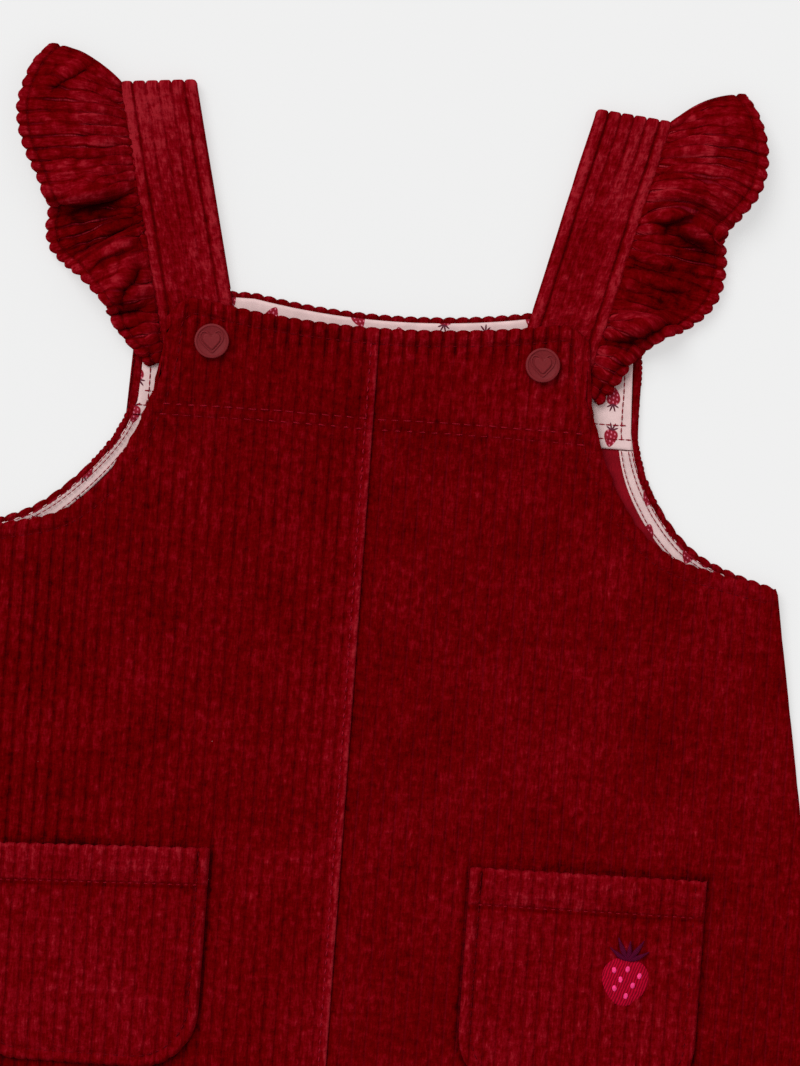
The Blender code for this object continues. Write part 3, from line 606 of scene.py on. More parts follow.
def front_half(side, materials):
    places = wale_columns(HEM_OUT - GAP / 2, WALE_STOPS)
    open_rows = np.arange(HEM_UP + 6 * MM, 6 * MM, 3.4 * MM)
    clear = (open_rows < YOKE_ROWS[0] - 1 * MM) | (open_rows > YOKE_ROWS[-1] + 1 * MM)
    middle = np.sort(np.concatenate([open_rows[clear], YOKE_ROWS]))
    low_rows, high_rows = len(HEM_ROWS), len(EDGE_ROWS)
    rows = low_rows + len(middle) + high_rows

    def shape(column, row):
        out = GAP / 2 + places[column]
        phase = places[column] / WALE % 1.0
        bite = SCALLOP * np.abs(2 * phase - 1) ** 2
        low = hem_at(out) + 0.5 * bite
        high = np.maximum(np.interp(out, FRONT_TOP[:, 0], FRONT_TOP[:, 1]) - bite, low)
        fit = np.minimum(1.0, (high - low) / (HEM_ROWS[-1] + EDGE_ROWS[-1]) * 0.98)
        floor, roof = low + HEM_ROWS[-1] * fit, high - EDGE_ROWS[-1] * fit
        inner = np.clip(row - low_rows, 0, len(middle) - 1)
        up = np.clip(middle[inner], floor, roof)
        from_top = np.clip(rows - 1 - row, 0, high_rows - 1)
        up = np.where(row < low_rows, low + HEM_ROWS[np.clip(row, 0, low_rows - 1)] * fit, up)
        up = np.where(rows - 1 - row < high_rows, high - EDGE_ROWS[from_top] * fit, up)
        wall, middle_share = front_relief(side, out, up)
        inside = front_rest(up) + crease_height(CREASES[side], out, up)
        edge = distance_to(FRONT_EDGE, out, up)
        outwards = out - 0.1 * MM - (0.35 if side < 0 else 0.10) * MM * near(out, 0.0, 1.5 * MM)
        outwards = outwards + ragged(edge, up, 131 + side) * (out > BIB_HALF - BIB_CORNER)
        place = np.stack([side * outwards, up, inside], axis=1)
        cloth = np.stack([side * out, up, middle_share], axis=1)
        return place, cloth, front_nap_and_shade(side, out, up), wall / (4 * MM)

    name = "front_cloth_right" if side > 0 else "front_cloth_left"
    mesh = cloth_grid(name, len(places), rows, shape, side < 0)
    node = "front_right" if side > 0 else "front_left"
    thing = cloth_piece(name, mesh, 4 * MM, materials, node)
    return thing


# ---- the back and its facings ----


def back_shift(up):
    return BACK_SHIFT * smooth_step((up - UNDERARM_UP) / BACK_SHIFT_SPAN)


def back_top_line(inset=0.0):
    """Half of the back's upper edge: neckline, shoulder, armhole and side seam."""
    outs = np.linspace(0.0, BACK_NECK_HALF, 12)
    ups = BACK_NECK_UP - BACK_NECK_DIP * (1 - (outs / BACK_NECK_HALF) ** 2)
    arm = smooth_curve([(p.out * MM, p.up * MM) for p in BACK_ARMHOLE], 6)
    arm[:, 0] = np.maximum.accumulate(arm[:, 0] + np.arange(len(arm)) * 1e-6)
    neck = np.stack([outs, ups], axis=1)
    end = [[HEM_OUT + BACK_PROUD, HEM_UP + HEM_RISE]]
    return neck, arm, np.array(end)


BACK_NECK, BACK_ARM, BACK_END = back_top_line()
BACK_EDGE = np.concatenate([BACK_NECK, BACK_ARM])
BACK_TOP_LINE = np.concatenate([BACK_EDGE, BACK_END])


def back_panel(wrong_side, pile):
    width = HEM_OUT + BACK_PROUD
    half = wale_columns(width, BACK_WALE_STOPS)
    places = np.concatenate([-half[:0:-1], half])
    middle = np.arange(HEM_UP + 6 * MM, 8 * MM, 4.4 * MM)
    edge_rows = EDGE_ROWS[[0, 1, 2, 3, 4, 6, 8, 11]]
    low_rows, high_rows = len(HEM_ROWS), len(edge_rows)
    rows = low_rows + len(middle) + high_rows

    def shape(column, row):
        across = places[column]
        out = np.abs(across)
        phase = out / WALE % 1.0
        bite = 0.8 * MM * np.abs(2 * phase - 1) ** 2
        low = hem_at(out) + 0.5 * bite
        high = np.interp(out, BACK_TOP_LINE[:, 0], BACK_TOP_LINE[:, 1]) - bite
        high = np.maximum(high, low)
        fit = np.minimum(1.0, (high - low) / (HEM_ROWS[-1] + edge_rows[-1]) * 0.98)
        floor, roof = low + HEM_ROWS[-1] * fit, high - edge_rows[-1] * fit
        inner = np.clip(row - low_rows, 0, len(middle) - 1)
        up = np.clip(middle[inner], floor, roof)
        from_top = np.clip(rows - 1 - row, 0, high_rows - 1)
        up = np.where(row < low_rows, low + HEM_ROWS[np.clip(row, 0, low_rows - 1)] * fit, up)
        up = np.where(rows - 1 - row < high_rows, high - edge_rows[from_top] * fit, up)
        edge = distance_to(BACK_TOP_LINE, out, up)
        middle_share = in_wale(out)
        pile = pile_height(middle_share, out, up, 71, 0.4)
        turned = rounded(TURNED_EDGE - edge, TURNED_EDGE) * rounded(edge, 1.0 * MM)
        top = BACK_TOP + 0.9 * MM * turned * (0.35 + 0.65 * pile)
        top = top - 0.7 * MM * (1 - rounded(edge, 0.9 * MM))
        tips = 0.8 * MM * (1 - np.clip(pile, 0, 1)) + 0.5 * MM * (1 - rounded(edge, 1.2 * MM))
        place = np.stack([across + back_shift(up), up, top], axis=1)
        wall = np.maximum(top - 0.03 * MM - tips, 0.2 * MM)
        cloth = np.stack([across, up, middle_share], axis=1)
        return place, cloth, brushing_and_shade(BACK_NAP_AND_SHADE, 0.05 * turned), wall / (4 * MM)

    mesh = cloth_grid("back_cloth", len(places), rows, shape, True)
    sides = [pile, wrong_side, pile, pile]
    thing = cloth_piece("back_cloth", mesh, 4 * MM, sides, "back")
    ups = [(abs(f.center.x), f.center.y - BIB_LINE) for f in mesh.polygons]
    outs = np.array([u[0] for u in ups])
    ups = np.array([u[1] for u in ups])
    beside = np.array([f.center.x for f in mesh.polygons]) - back_shift(ups)
    turned = distance_to(BACK_TOP_LINE, np.abs(beside), ups) < TURNED_EDGE
    mesh.polygons.foreach_set("material_index", 2 * turned.astype(int))
    return thing


def armhole_tufts(side, pile):
    """The tufts of pile that stand out along the steep part of the back's armhole."""
    steep = BACK_ARM[(BACK_ARM[:, 1] < -4 * MM) & (BACK_ARM[:, 1] > -58 * MM)]
    spots = paced(moved_in(steep, 0.75 * MM, 0.95 * MM), 1.8 * MM)[0]
    sizes = 1.0 + 0.3 * soft_noise(spots[:, 1], 0 * spots[:, 1], 1.3 * MM, 137)
    bm = bmesh.new()
    for (out, up), size in zip(spots, sizes, strict=True):
        middle = Matrix.Translation((side * out + back_shift(up), up + BIB_LINE, 1.3 * MM))
        shape = Matrix.Diagonal((0.95 * MM * size, 1.1 * MM * size, 0.95 * MM, 1.0))
        bmesh.ops.create_uvsphere(bm, u_segments=14, v_segments=10, radius=1.0, matrix=middle @ shape)
    for face in bm.faces:
        face.smooth = True
    word = "right" if side > 0 else "left"
    mesh = bpy.data.meshes.new(f"armhole_tufts_{word}")
    bm.to_mesh(mesh)
    bm.free()
    places = np.empty(len(mesh.vertices) * 3)
    mesh.vertices.foreach_get("co", places)
    cloth = places.reshape(-1, 3) * [1, 1, 0] + [0, 0, 0.8]
    nap_and_shade = brushing_and_shade(BACK_NAP_AND_SHADE, 0.04 * np.ones(len(cloth)))
    for label, values in (("cloth", cloth), ("nap_and_shade", nap_and_shade)):
        layer = mesh.attributes.new(label, "FLOAT_VECTOR", "POINT")
        layer.data.foreach_set("vector", np.ascontiguousarray(values).ravel())
    mesh.materials.append(pile)
    thing = bpy.data.objects.new(mesh.name, mesh)
    bpy.context.scene.collection.objects.link(thing)
    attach(thing, "root")
    return thing


def moved_in(line, first, last):
    """A line moved in from an edge, by first at its start and by last at its end."""
    ways = np.gradient(line, axis=0)
    ways /= np.linalg.norm(ways, axis=1)[:, None]
    inwards = np.stack([ways[:, 1], -ways[:, 0]], axis=1)
    return line + np.linspace(first, last, len(line))[:, None] * inwards


def cut_below(line, up):
    """The stretch of a falling line below a height, starting on that height."""
    below = [tuple(point) for point in line if point[1] < up]
    return np.array([(float(np.interp(-up, -line[:, 1], line[:, 0])), up), *below])


def along_line(line, places):
    """Points of a line at places along it, given from 0 to 1."""
    run = np.concatenate([[0], np.cumsum(np.linalg.norm(np.diff(line, axis=0), axis=1))])
    at = np.asarray(places) * run[-1]
    return np.stack([np.interp(at, run, line[:, k]) for k in range(line.shape[1])], axis=1)


def cotton_relief(x, y, edge):
    """The facing cloth's thickness: pressed, a little wavy, rounded off at its turned edges."""
    wave = 0.16 * MM * soft_noise(x, y, 7 * MM, 91) + 0.07 * MM * soft_noise(x, y, 2.6 * MM, 92)
    wall = FACING_WALL * 0.82 + wave
    return 0.25 * MM + (wall - 0.25 * MM) * rounded(edge, 0.7 * MM)


def back_facing(cotton):
    """The yoke of printed cotton inside the back, from the neckline to under the bib's seam."""
    inner = moved_in(BACK_ARM, FACING_INSET, FACING_INSET)
    roof = BACK_NECK_UP - FACING_INSET
    side_line = inner[(inner[:, 1] < roof) & (inner[:, 1] > FACING_DOWN)]
    low = cut_below(inner, FACING_DOWN)[:1]
    neck = BACK_NECK - [0, FACING_INSET]
    half = np.concatenate([neck, [[side_line[0][0] - 0.2 * MM, roof]], side_line, low])
    half[:, 0] = np.maximum.accumulate(half[:, 0] + np.arange(len(half)) * 1e-6)
    width = half[-1][0]
    reach = np.linspace(0, 1, 61)
    places = np.concatenate([-reach[:0:-1], reach]) * width
    rows = 34

    def shape(column, row):
        out = np.abs(places[column])
        share = row / (rows - 1)
        share = smooth_step(share) * 0.5 + share * 0.5
        high = np.interp(out, half[:, 0], half[:, 1])
        up = FACING_DOWN + (high - FACING_DOWN) * share
        edge = np.minimum(distance_to(half, out, up), up - FACING_DOWN + 0.1 * MM)
        x = places[column] + back_shift(up)
        place = np.stack([x, up, np.full(len(x), FACING_LOW)], axis=1)
        wall = cotton_relief(x, up, edge)
        cloth = np.stack([x, up, np.zeros(len(x))], axis=1)
        return place, cloth, cloth * 0, wall / (4 * MM)

    mesh = cloth_grid("facing_cloth", len(places), rows, shape, False)
    thing = cloth_piece("facing_cloth", mesh, 4 * MM, [cotton], "back_facing")
    return thing


def armhole_tape(side, cotton):
    """The bias strip that finishes the armhole, with a folded piping along its outer edge."""
    top = FACING_DOWN - GAP
    outer = moved_in(BACK_ARM, FACING_INSET, FACING_INSET)[:-1]
    inner = moved_in(BACK_ARM, FACING_INSET + TAPE_TOP, FACING_INSET + TAPE_LOW)[:-1]
    outer, inner = cut_below(outer, top), cut_below(inner, top)
    across = np.array([0, 0.04, 0.1, 0.16, 0.2, 0.24, 0.3, 0.45, 0.6, 0.74, 0.8, 0.86, 0.93, 1.0])
    steps = np.linspace(0, 1, 90)
    first, last = along_line(outer, steps), along_line(inner, steps)

    def shape(column, row):
        share = across[column]
        flat = first[row] * (1 - share)[:, None] + last[row] * share[:, None]
        width = np.linalg.norm(last[row] - first[row], axis=1)
        edge = np.minimum(share, 1 - share) * width
        x = side * flat[:, 0] + back_shift(flat[:, 1])
        wall = cotton_relief(x, flat[:, 1], edge)
        wall = wall - 0.22 * MM * near(share, 0.2, 0.035) - 0.16 * MM * near(share, 0.8, 0.04)
        place = np.stack([x, flat[:, 1], np.full(len(x), FACING_LOW)], axis=1)
        cloth = np.stack([x, flat[:, 1], share], axis=1)
        return place, cloth, cloth * 0, wall / (4 * MM)

    word = "right" if side > 0 else "left"
    mesh = cloth_grid(f"tape_cloth_{word}", len(across), len(steps), shape, side > 0)
    node = f"armhole_tape_{word}"
    thing = cloth_piece(f"tape_cloth_{word}", mesh, 4 * MM, [cotton], node)
    return thing


# ---- the straps ----


def strap_edge(up):
    """The strap's inner edge, out from the middle, at a height."""
    return STRAP_LOW_OUT + STRAP_LEAN * up


def strap_path():
    """The strap's inside from the back's edge over the shoulder and down: place up and height."""
    low, high = STRAP_WALL, STRAP_WALL + 2 * STRAP_TURN
    top = SHOULDER_UP - STRAP_WALL - STRAP_TURN
    behind = [(up, low) for up in np.linspace(BACK_NECK_UP + 2 * GAP, top, 30)]
    turn = [
        (top + STRAP_TURN * math.sin(a), (low + high) / 2 - STRAP_TURN * math.cos(a))
        for a in np.linspace(0, math.pi, 11)[1:-1]
    ]
    before = [(up, high) for up in np.linspace(top, STRAP_FRONT_END, 56)]
    return np.array([*behind, *turn, *before])


def strap(side, pile):
    path = strap_path()
    run = np.concatenate([[0], np.cumsum(np.linalg.norm(np.diff(path, axis=0), axis=1) + 1e-4)])
    places = np.array([*((k + s) for k in range(STRAP_RIBS) for s in WALE_STOPS), STRAP_RIBS])
    pitch = STRAP_WIDTH / STRAP_RIBS

    def shape(column, row):
        across = places[column] * pitch
        share = across / STRAP_WIDTH
        along = run[row]
        up = path[row, 0] - SHOULDER_SLANT * share * np.maximum(path[row, 0], 0) / SHOULDER_UP
        front = path[row, 1] > STRAP_WALL + STRAP_TURN
        x = side * (strap_edge(up) + across + 0.25 * MM * soft_noise(along, 0 * up, 17 * MM, 61 + side))
        middle_share = 1 - np.abs(2 * (places[column] % 1.0) - 1)
        crush = np.where(front, 1.0, 0.2)
        pile_share = pile_height(middle_share, across + 1.0, along, 63 + side, crush, 6.0)
        edge = np.minimum(across, STRAP_WIDTH - across)
        inner = smooth_step((edge - 0.8 * pitch) / (0.5 * pitch))
        groove = np.rint(places[column])
        open_here = 0.50 + 0.45 * soft_noise(groove * 7.3 * MM, along, 26 * MM, 69 + side)
        flat = inner * np.clip(1 - open_here, 0, 0.8) * smooth_step((SHOULDER_UP - 4 * MM - up) / (4 * MM))
        pile_share = pile_share + (0.9 - pile_share) * flat
        from_groove = (1 - np.abs(1 - 2 * (places[column] % 1.0))) * pitch / 2
        wall = STRAP_WALL - RIB * (1 - pile_share)
        wall = wall - front * 0.35 * MM * near(edge, pitch, 0.35 * MM)
        wall = wall - front * 0.22 * MM * inner
        wall = wall + front * 0.12 * MM * soft_noise(across, along, 12 * MM, 66)
        wall = 0.9 * MM + (wall - 0.9 * MM) * rounded(edge, 1.7 * MM)
        wall = np.where(front, wall, np.minimum(wall, STRAP_WALL - 0.02 * MM))
        place = np.stack([x, up, path[row, 1]], axis=1)
        cloth = np.stack([0.3 * side + across, along, middle_share], axis=1)
        haze_and_painted_light = 0.10 * soft_noise(across, along, 13 * MM, 67 + side)
        haze_and_painted_light = haze_and_painted_light + 0.11 * smooth_step((up - 20 * MM) / (50 * MM)) - 0.04
        # A lighter edge rib, with painted shade in the groove beside it.
        haze_and_painted_light = haze_and_painted_light + 0.12 * near(edge, 1.9 * MM, 1.3 * MM) - 0.16 * near(edge, pitch, 0.30 * MM)
        # Painted shade in the inner grooves where they stand open.
        haze_and_painted_light = haze_and_painted_light - 0.14 * near(from_groove, 0.0, 0.32 * MM) * inner * np.clip(open_here, 0, 1)
        haze_and_painted_light = haze_and_painted_light + 0.08 * soft_noise(across, along * 0.12, 1.1 * MM, 70)
        # The darkness given with it is painted shade in the grooves, more at the edge ribs, less where flattened.
        nap_and_shade = brushing_and_shade(STRAP_NAP_AND_SHADE, haze_and_painted_light, 0.2 * (1 - inner) - 0.2 * flat)
        return place, cloth, nap_and_shade, wall / (4 * MM)

    word = "right" if side > 0 else "left"
    mesh = cloth_grid(f"strap_cloth_{word}", len(places), len(path), shape, side > 0)
    name = f"strap_cloth_{word}"
    thing = cloth_piece(name, mesh, 4 * MM, [pile], f"strap_{word}")
    return thing


# ---- the frills ----


def frill_root(root, lift):
    """The place on the strap's outer edge that a wale starts from."""
    slant = SHOULDER_SLANT * max(root, 0.0) / SHOULDER_UP
    edge = strap_edge(root - slant) + STRAP_WIDTH
    front_root = STRAP_WALL + 2 * STRAP_TURN + 0.4 * MM
    share = float(smooth_step((lift - FRILL_BACK_LIFT) / (0.7 * MM)))
    height = FRILL_BACK_LIFT + (front_root - FRILL_BACK_LIFT) * share
    return np.array([edge - FRILL_TUCK, root, height])


HEM_STEPS = np.array([5.6, 4.8, 4.3, 4.0, 3.7, 3.2, 2.5, 1.7, 1.0, 0.45, 0.0]) * MM


def pleats_in(side, line):
    """The rise of a frill's pleats along a wale, with the painted highlight on their crests and the painted shade in
    their valleys.
    """
    rise, tone = np.zeros(len(line)), np.zeros(len(line))
    for pleat in PLEATS[side]:
        turn = math.radians(pleat.turn)
        across, along = line[:, 0] / MM - pleat.out, line[:, 1] / MM - pleat.up
        run = (across * math.cos(turn) + along * math.sin(turn)) / (pleat.length / 2)
        away = along * math.cos(turn) - across * math.sin(turn)
        away = away - 0.9 * np.sin(3.1 * run) * pleat.width / 2
        fade = np.clip(1 - run**2, 0, 1) ** 1.5
        crest, valley = near(away, 0.0, pleat.width), near(away, -1.35 * pleat.width, 0.75 * pleat.width)
        rise += 1.3 * pleat.height * MM * fade * (crest - 0.9 * valley)
        # Painted highlight on each crest and painted shade in the valley below it.
        tone += fade * (0.14 * crest - 1.25 * pleat.shade * valley)
    return rise, tone


def flattened(side, out, up):
    """Where the pile is pressed smooth over the ribs, near the frill's tip."""
    spot = SMOOTH_SPOTS[side]
    away = math.hypot(out / MM - spot.out, up / MM - spot.up) / spot.radius
    return 0.5 * math.exp(-(away**2))


def frill_points(side):
    """The frill's inside as wales by rows of points, with its wall and its place in the cloth."""
    folds = FOLDS[side] + BACK_FOLDS
    rows = [(f.out * MM, f.up * MM, f.lift * MM, f.root * MM, f.crown * MM, f.bow * MM) for f in folds]
    dense = smooth_curve(rows, 24)
    steps = np.linalg.norm(np.diff(dense[:, :3], axis=0), axis=1)
    cloth = np.concatenate([[0], np.cumsum(steps)])
    ribs = round(cloth[-1] / WALE)
    places = np.array([*((k + s) for k in range(ribs) for s in WALE_STOPS), ribs])
    heights = np.interp(places / ribs * cloth[-1], cloth, dense[:, 2] + dense[:, 4])
    around = np.convolve(np.pad(heights, 40, "edge"), np.ones(81) / 81, "valid")
    # How far each wale stands above or below its neighbours, used for painted light and shade.
    crests = np.clip((heights - around) / (3.5 * MM), -1, 1)
    points, walls, cloths, naps_and_shades = [], [], [], []
    for place, crest in zip(places, crests, strict=True):
        at = place / ribs * cloth[-1]
        groove = np.rint(place)
        out, up, lift, root, crown, bow = (np.interp(at, cloth, dense[:, k]) for k in range(6))
        sewn = frill_root(root, lift)
        start = sewn + [FRILL_TAB, 0.0, 0.0]
        end = np.array([out, up, lift])
        length = max(np.linalg.norm(end - start), 8 * MM)
        hem = np.minimum(HEM_STEPS, length * 0.6)
        t = np.concatenate([np.linspace(0, 1 - hem[0] / length, 27)[:-1], 1 - hem / length])
        from_hem = (1 - t) * length
        line = start + (end - start) * t[:, None]
        line[:, 2] = start[2] + (end[2] - start[2]) * smooth_step(t)
        loose = min(max(lift - FRILL_BACK_LIFT, 0.0) / MM, 1.0)
        line[:, 2] += crown * np.sin(np.pi * t**0.8) ** 2
        across = np.array([-(end - start)[1], (end - start)[0], 0.0])
        across /= np.linalg.norm(across)
        line += across * (bow * np.sin(np.pi * t))[:, None]
        middle = 1 - abs(2 * (place % 1.0) - 1)
        swell = math.sin(math.pi * place) ** 2 * np.sin(np.pi * np.minimum(2.5 * t, 1.0))
        cloth_x = np.full(len(t), place * WALE)
        reach = 0.16 + 0.13 * soft_noise(cloth_x, 0 * t, 9 * MM, 87 + side)
        pucker = soft_noise(cloth_x, t * length * 0.25, 2.7 * MM, 89 + side) * np.exp(-((t / (2 * reach)) ** 2))
        pucker = pucker * smooth_step(t / 0.05)
        rumple = soft_noise(cloth_x, t * length, 7.5 * MM, 81 + side) * np.sin(np.pi * t)
        crumple = np.abs(soft_noise(cloth_x + t * 9 * MM, t * length, 4.6 * MM, 93 + side)) * np.sin(np.pi * t)
        rise = 1.2 * GATHER * swell + 1.7 * MM * pucker + 0.8 * MM * rumple - 1.1 * MM * crumple
        line[:, 2] += rise * loose
        pleat_rise, pleat_painted_light = pleats_in(side, line)
        line[:, 2] += pleat_rise * loose
        # Painted light and shade that follow the gathers, rumples, crumples and pleats.
        shade = (0.28 * pucker + 0.14 * rumple - 0.26 * crumple + pleat_painted_light) * loose
        bite = FRILL_BITE * (1 - middle) ** 2 * np.exp(-from_hem / (1.6 * MM))
        line -= (end - start) / length * bite[:, None]
        line = np.concatenate([[sewn], line])
        from_hem = np.concatenate([[length + FRILL_TAB], from_hem])
        along = length + FRILL_TAB - from_hem
        pile = pile_height(np.full(len(along), middle), place * WALE, along, 84 + side)
        opened = 0.55 + 0.65 * soft_noise(groove * 6.1 * MM + 0 * along, along, 11 * MM, 97 + side)
        opened = np.clip(opened - flattened(side, out, up), 0.06, 1.0)
        pile = pile + (0.9 - pile) * (1 - opened)
        turned = smooth_step((FRILL_HEM - from_hem) / (0.5 * MM))
        stitched = near(from_hem, FRILL_HEM + 0.2 * MM, 0.55 * MM)
        wall = FRILL_WALL + FRILL_RIB * pile * (1 - 0.45 * stitched)
        wall = wall + 0.3 * MM * turned - 0.25 * MM * stitched
        wall = 0.4 * MM + (wall - 0.4 * MM) * rounded(from_hem, 1.3 * MM)
        if loose < 0.5:
            wall = np.minimum(wall, FRILL_BACK_LIFT - 0.05 * MM)
        points.append(line)
        walls.append(wall)
        cloths.append(np.stack([wall * 0 + 0.6 + place * WALE, along, wall * 0 + middle], axis=1))
        # Painted shade along the hem's stitching and beside the strap's edge; a little lighter on the turned hem.
        tone = 0.06 * turned - 0.18 * stitched - 0.22 * np.exp(-along / (4 * MM))
        swing = np.sin(np.pi * np.clip(along / length, 0, 1)) ** 0.5
        # Painted highlight on the crests of the folds and painted shade in the troughs between them.
        tone = tone + (0.07 if crest > 0 else 0.30) * crest * swing + np.concatenate([[0], shade])
        laddered = smooth_step((opened - 0.45) / 0.25) * smooth_step(1.25 - along / length)
        laddered = laddered * np.concatenate([[0], np.clip(1 - 4 * np.abs(pleat_painted_light), 0, 1)])
        naps_and_shades.append(brushing_and_shade(FRILL_NAP_AND_SHADE, tone, 0.6 * (opened - 0.6), 1.9 * laddered * (1 - turned)))
    points = np.array(points) * [side, 1, 1]
    return points, np.array(walls), np.array(cloths), np.array(naps_and_shades)


def frill(side, wrong_side, pile):
    points, walls, cloths, naps_and_shades = frill_points(side)

    def shape(column, row):
        at = column, row
        return points[at], cloths[at], naps_and_shades[at], walls[at] / (4 * MM)

    word = "right" if side > 0 else "left"
    mesh = cloth_grid(f"frill_cloth_{word}", *points.shape[:2], shape, side > 0, merge=False)
    name, node = f"frill_cloth_{word}", f"frill_{word}"
    thing = cloth_piece(name, mesh, 4 * MM, [pile, wrong_side], node)
    return thing


# ---- the pockets ----


def pocket_low_line(width):
    """The pocket's lower outline from corner to corner, as places across and up."""
    turn = np.linspace(math.pi, math.pi / 2 * 3, 13)
    left = np.stack([POCKET_CORNER * (1 + np.cos(turn)), POCKET_CORNER * (1 + np.sin(turn))], axis=1)
    right = np.stack([width - left[::-1, 0], left[::-1, 1]], axis=1)
    return np.concatenate([left, right]) + [0, POCKET_DOWN]


def pocket_relief(side, across, up, seed):
    """The pocket's thickness over its inside."""
    width = POCKET_OUT - POCKET_IN
    slope = POCKET_SLOPES[side]
    top = POCKET_UP + slope * across
    low_line = pocket_low_line(width)
    outline = np.concatenate([[[0, POCKET_UP]], low_line, [[width, POCKET_UP + slope * width]]])
    edge = distance_to(outline, across, up)
    from_top = top - up
    middle = in_wale(across)
    pile = pile_height(middle, across, up, seed)
    pile = pile + (0.85 - pile) * 0.22
    stitched = near(edge, 3.7 * MM, 0.8 * MM) * (from_top > 0) + near(from_top, POCKET_BAND, 0.8 * MM)
    stitched = np.clip(stitched, 0, 1)
    pile = pile * (1 - 0.5 * stitched)
    wall = WALL + RIB * pile - 0.3 * MM * stitched
    wall = wall + 0.4 * MM * smooth_step((POCKET_BAND - from_top) / (0.7 * MM) + 0.2)
    wall = wall + 0.3 * MM * near(from_top, 2.5 * MM, 2.5 * MM)
    wall = wall + 0.50 * MM * near(edge, 1.5 * MM, 1.1 * MM)
    pucker = near(from_top, POCKET_BAND + 3.4 * MM, 2.2 * MM)
    wall = wall + 0.35 * MM * pucker * (0.4 + soft_noise(across, 0 * up, 4.6 * MM, seed + 5))
    soft = rounded(np.minimum(edge, np.maximum(from_top, 0)), 1.3 * MM)
    return 0.2 * MM + (wall - 0.2 * MM) * soft, middle


def pocket(side, wrong_side, pile):
    width = POCKET_OUT - POCKET_IN
    places = wale_columns(width, WALE_STOPS)
    low_line = pocket_low_line(width)
    edge_steps = EDGE_ROWS[:8] * 0.8
    middle = np.linspace(0, 1, 28)
    rows = 2 * len(edge_steps) + len(middle) + 8
    band = POCKET_BAND + np.array([1.6, 1.1, 0.7, 0.35, 0.0, -0.35, -0.7, -1.1])[:8] * MM

    def shape(column, row):
        across = places[column]
        bite = SCALLOP * 0.9 * (1 - in_wale(across)) ** 2
        low = np.interp(across, low_line[:, 0], low_line[:, 1]) + bite
        top = POCKET_UP + POCKET_SLOPES[side] * across
        count = len(edge_steps)
        body_low, body_high = low + edge_steps[-1], top - band[0]
        index = np.clip(row - count, 0, len(middle) - 1)
        up = body_low + (body_high - body_low) * middle[index]
        up = np.where(row < count, low + edge_steps[np.clip(row, 0, count - 1)], up)
        in_band = row - count - len(middle)
        up = np.where(in_band >= 0, top - band[np.clip(in_band, 0, len(band) - 1)], up)
        from_top = rows - 1 - row
        up = np.where(from_top < count, top - bite - edge_steps[np.clip(from_top, 0, count - 1)], up)
        wall, middle_share = pocket_relief(side, across, up, 41 + side)
        x = side * (POCKET_IN + across)
        place = np.stack([x, up, np.full(len(x), POCKET_BASE)], axis=1)
        haze_and_painted_light = 0.05 * soft_noise(across, up, 12 * MM, 44 + side)
        haze_and_painted_light = haze_and_painted_light + 0.06 * smooth_step((up - top + POCKET_BAND) / MM)
        rim = np.minimum(across, width - across)
        # Painted highlights along the rolled side edges, strongest on the left one, and along the top edge.
        haze_and_painted_light = haze_and_painted_light + 0.08 * near(rim, 1.4 * MM, 1.2 * MM) + 0.22 * near(across, 0.5 * MM, 0.28 * MM)
        haze_and_painted_light = haze_and_painted_light + 0.08 * near(top - up, 0.6 * MM, 0.6 * MM)
        slit = smooth_step((up - top + 8 * MM) / (3 * MM)) * smooth_step((top - up - 0.8 * MM) / MM)
        # Painted shade along the stitching and in the slits near the top, and under the band.
        haze_and_painted_light = haze_and_painted_light - (0.16 + 0.70 * slit) * near(rim, 3.9 * MM, 0.36 * MM)
        haze_and_painted_light = haze_and_painted_light - 0.30 * near(top - up, POCKET_BAND + 0.9 * MM, 0.7 * MM)
        cloth = np.stack([x + 1.0, up, middle_share], axis=1)
        return place, cloth, brushing_and_shade(POCKET_NAP_AND_SHADE, haze_and_painted_light), wall / (4 * MM)

    word = "right" if side > 0 else "left"
    name = f"pocket_cloth_{word}"
    mesh = cloth_grid(name, len(places), rows, shape, side < 0)
    thing = cloth_piece(name, mesh, 4 * MM, [pile, wrong_side], f"pocket_{word}")
    return thing


# ---- the buttons ----


def heart_line(size, count):
    """A plain heart's outline, its tip and its cleft rounded."""
    turn = np.linspace(0, 2 * math.pi, count, endpoint=False)
    x = 9 * np.sin(turn) ** 3 + 7 * np.sin(turn)
    y = 13 * np.cos(turn) - 5 * np.cos(2 * turn) - 2 * np.cos(3 * turn) - np.cos(4 * turn)
    return np.stack([x, y + 1.5], axis=1) * size / 32


def heart_ridge(size, height, thick, filled):
    """A heart laid on a button's face, as a raised line or as a soft-edged slab."""
    curve = bpy.data.curves.new("heart", "CURVE")
    curve.dimensions = "2D" if filled else "3D"
    curve.fill_mode = "BOTH" if filled else "FULL"
    curve.bevel_depth = thick
    curve.bevel_resolution = 2
    spline = curve.splines.new("POLY")
    line = heart_line(size, 64)
    spline.points.add(len(line) - 1)
    for point, (x, y) in zip(spline.points, line, strict=True):
        point.co = (x, y, 0.0, 1.0)
    spline.use_cyclic_u = True
    thing = bpy.data.objects.new("heart", curve)
    bpy.context.scene.collection.objects.link(thing)
    mesh = bpy.data.meshes.new_from_object(thing)
    mesh.transform(Matrix.Translation((0, 0, height)))
    bpy.data.objects.remove(thing)
    return mesh


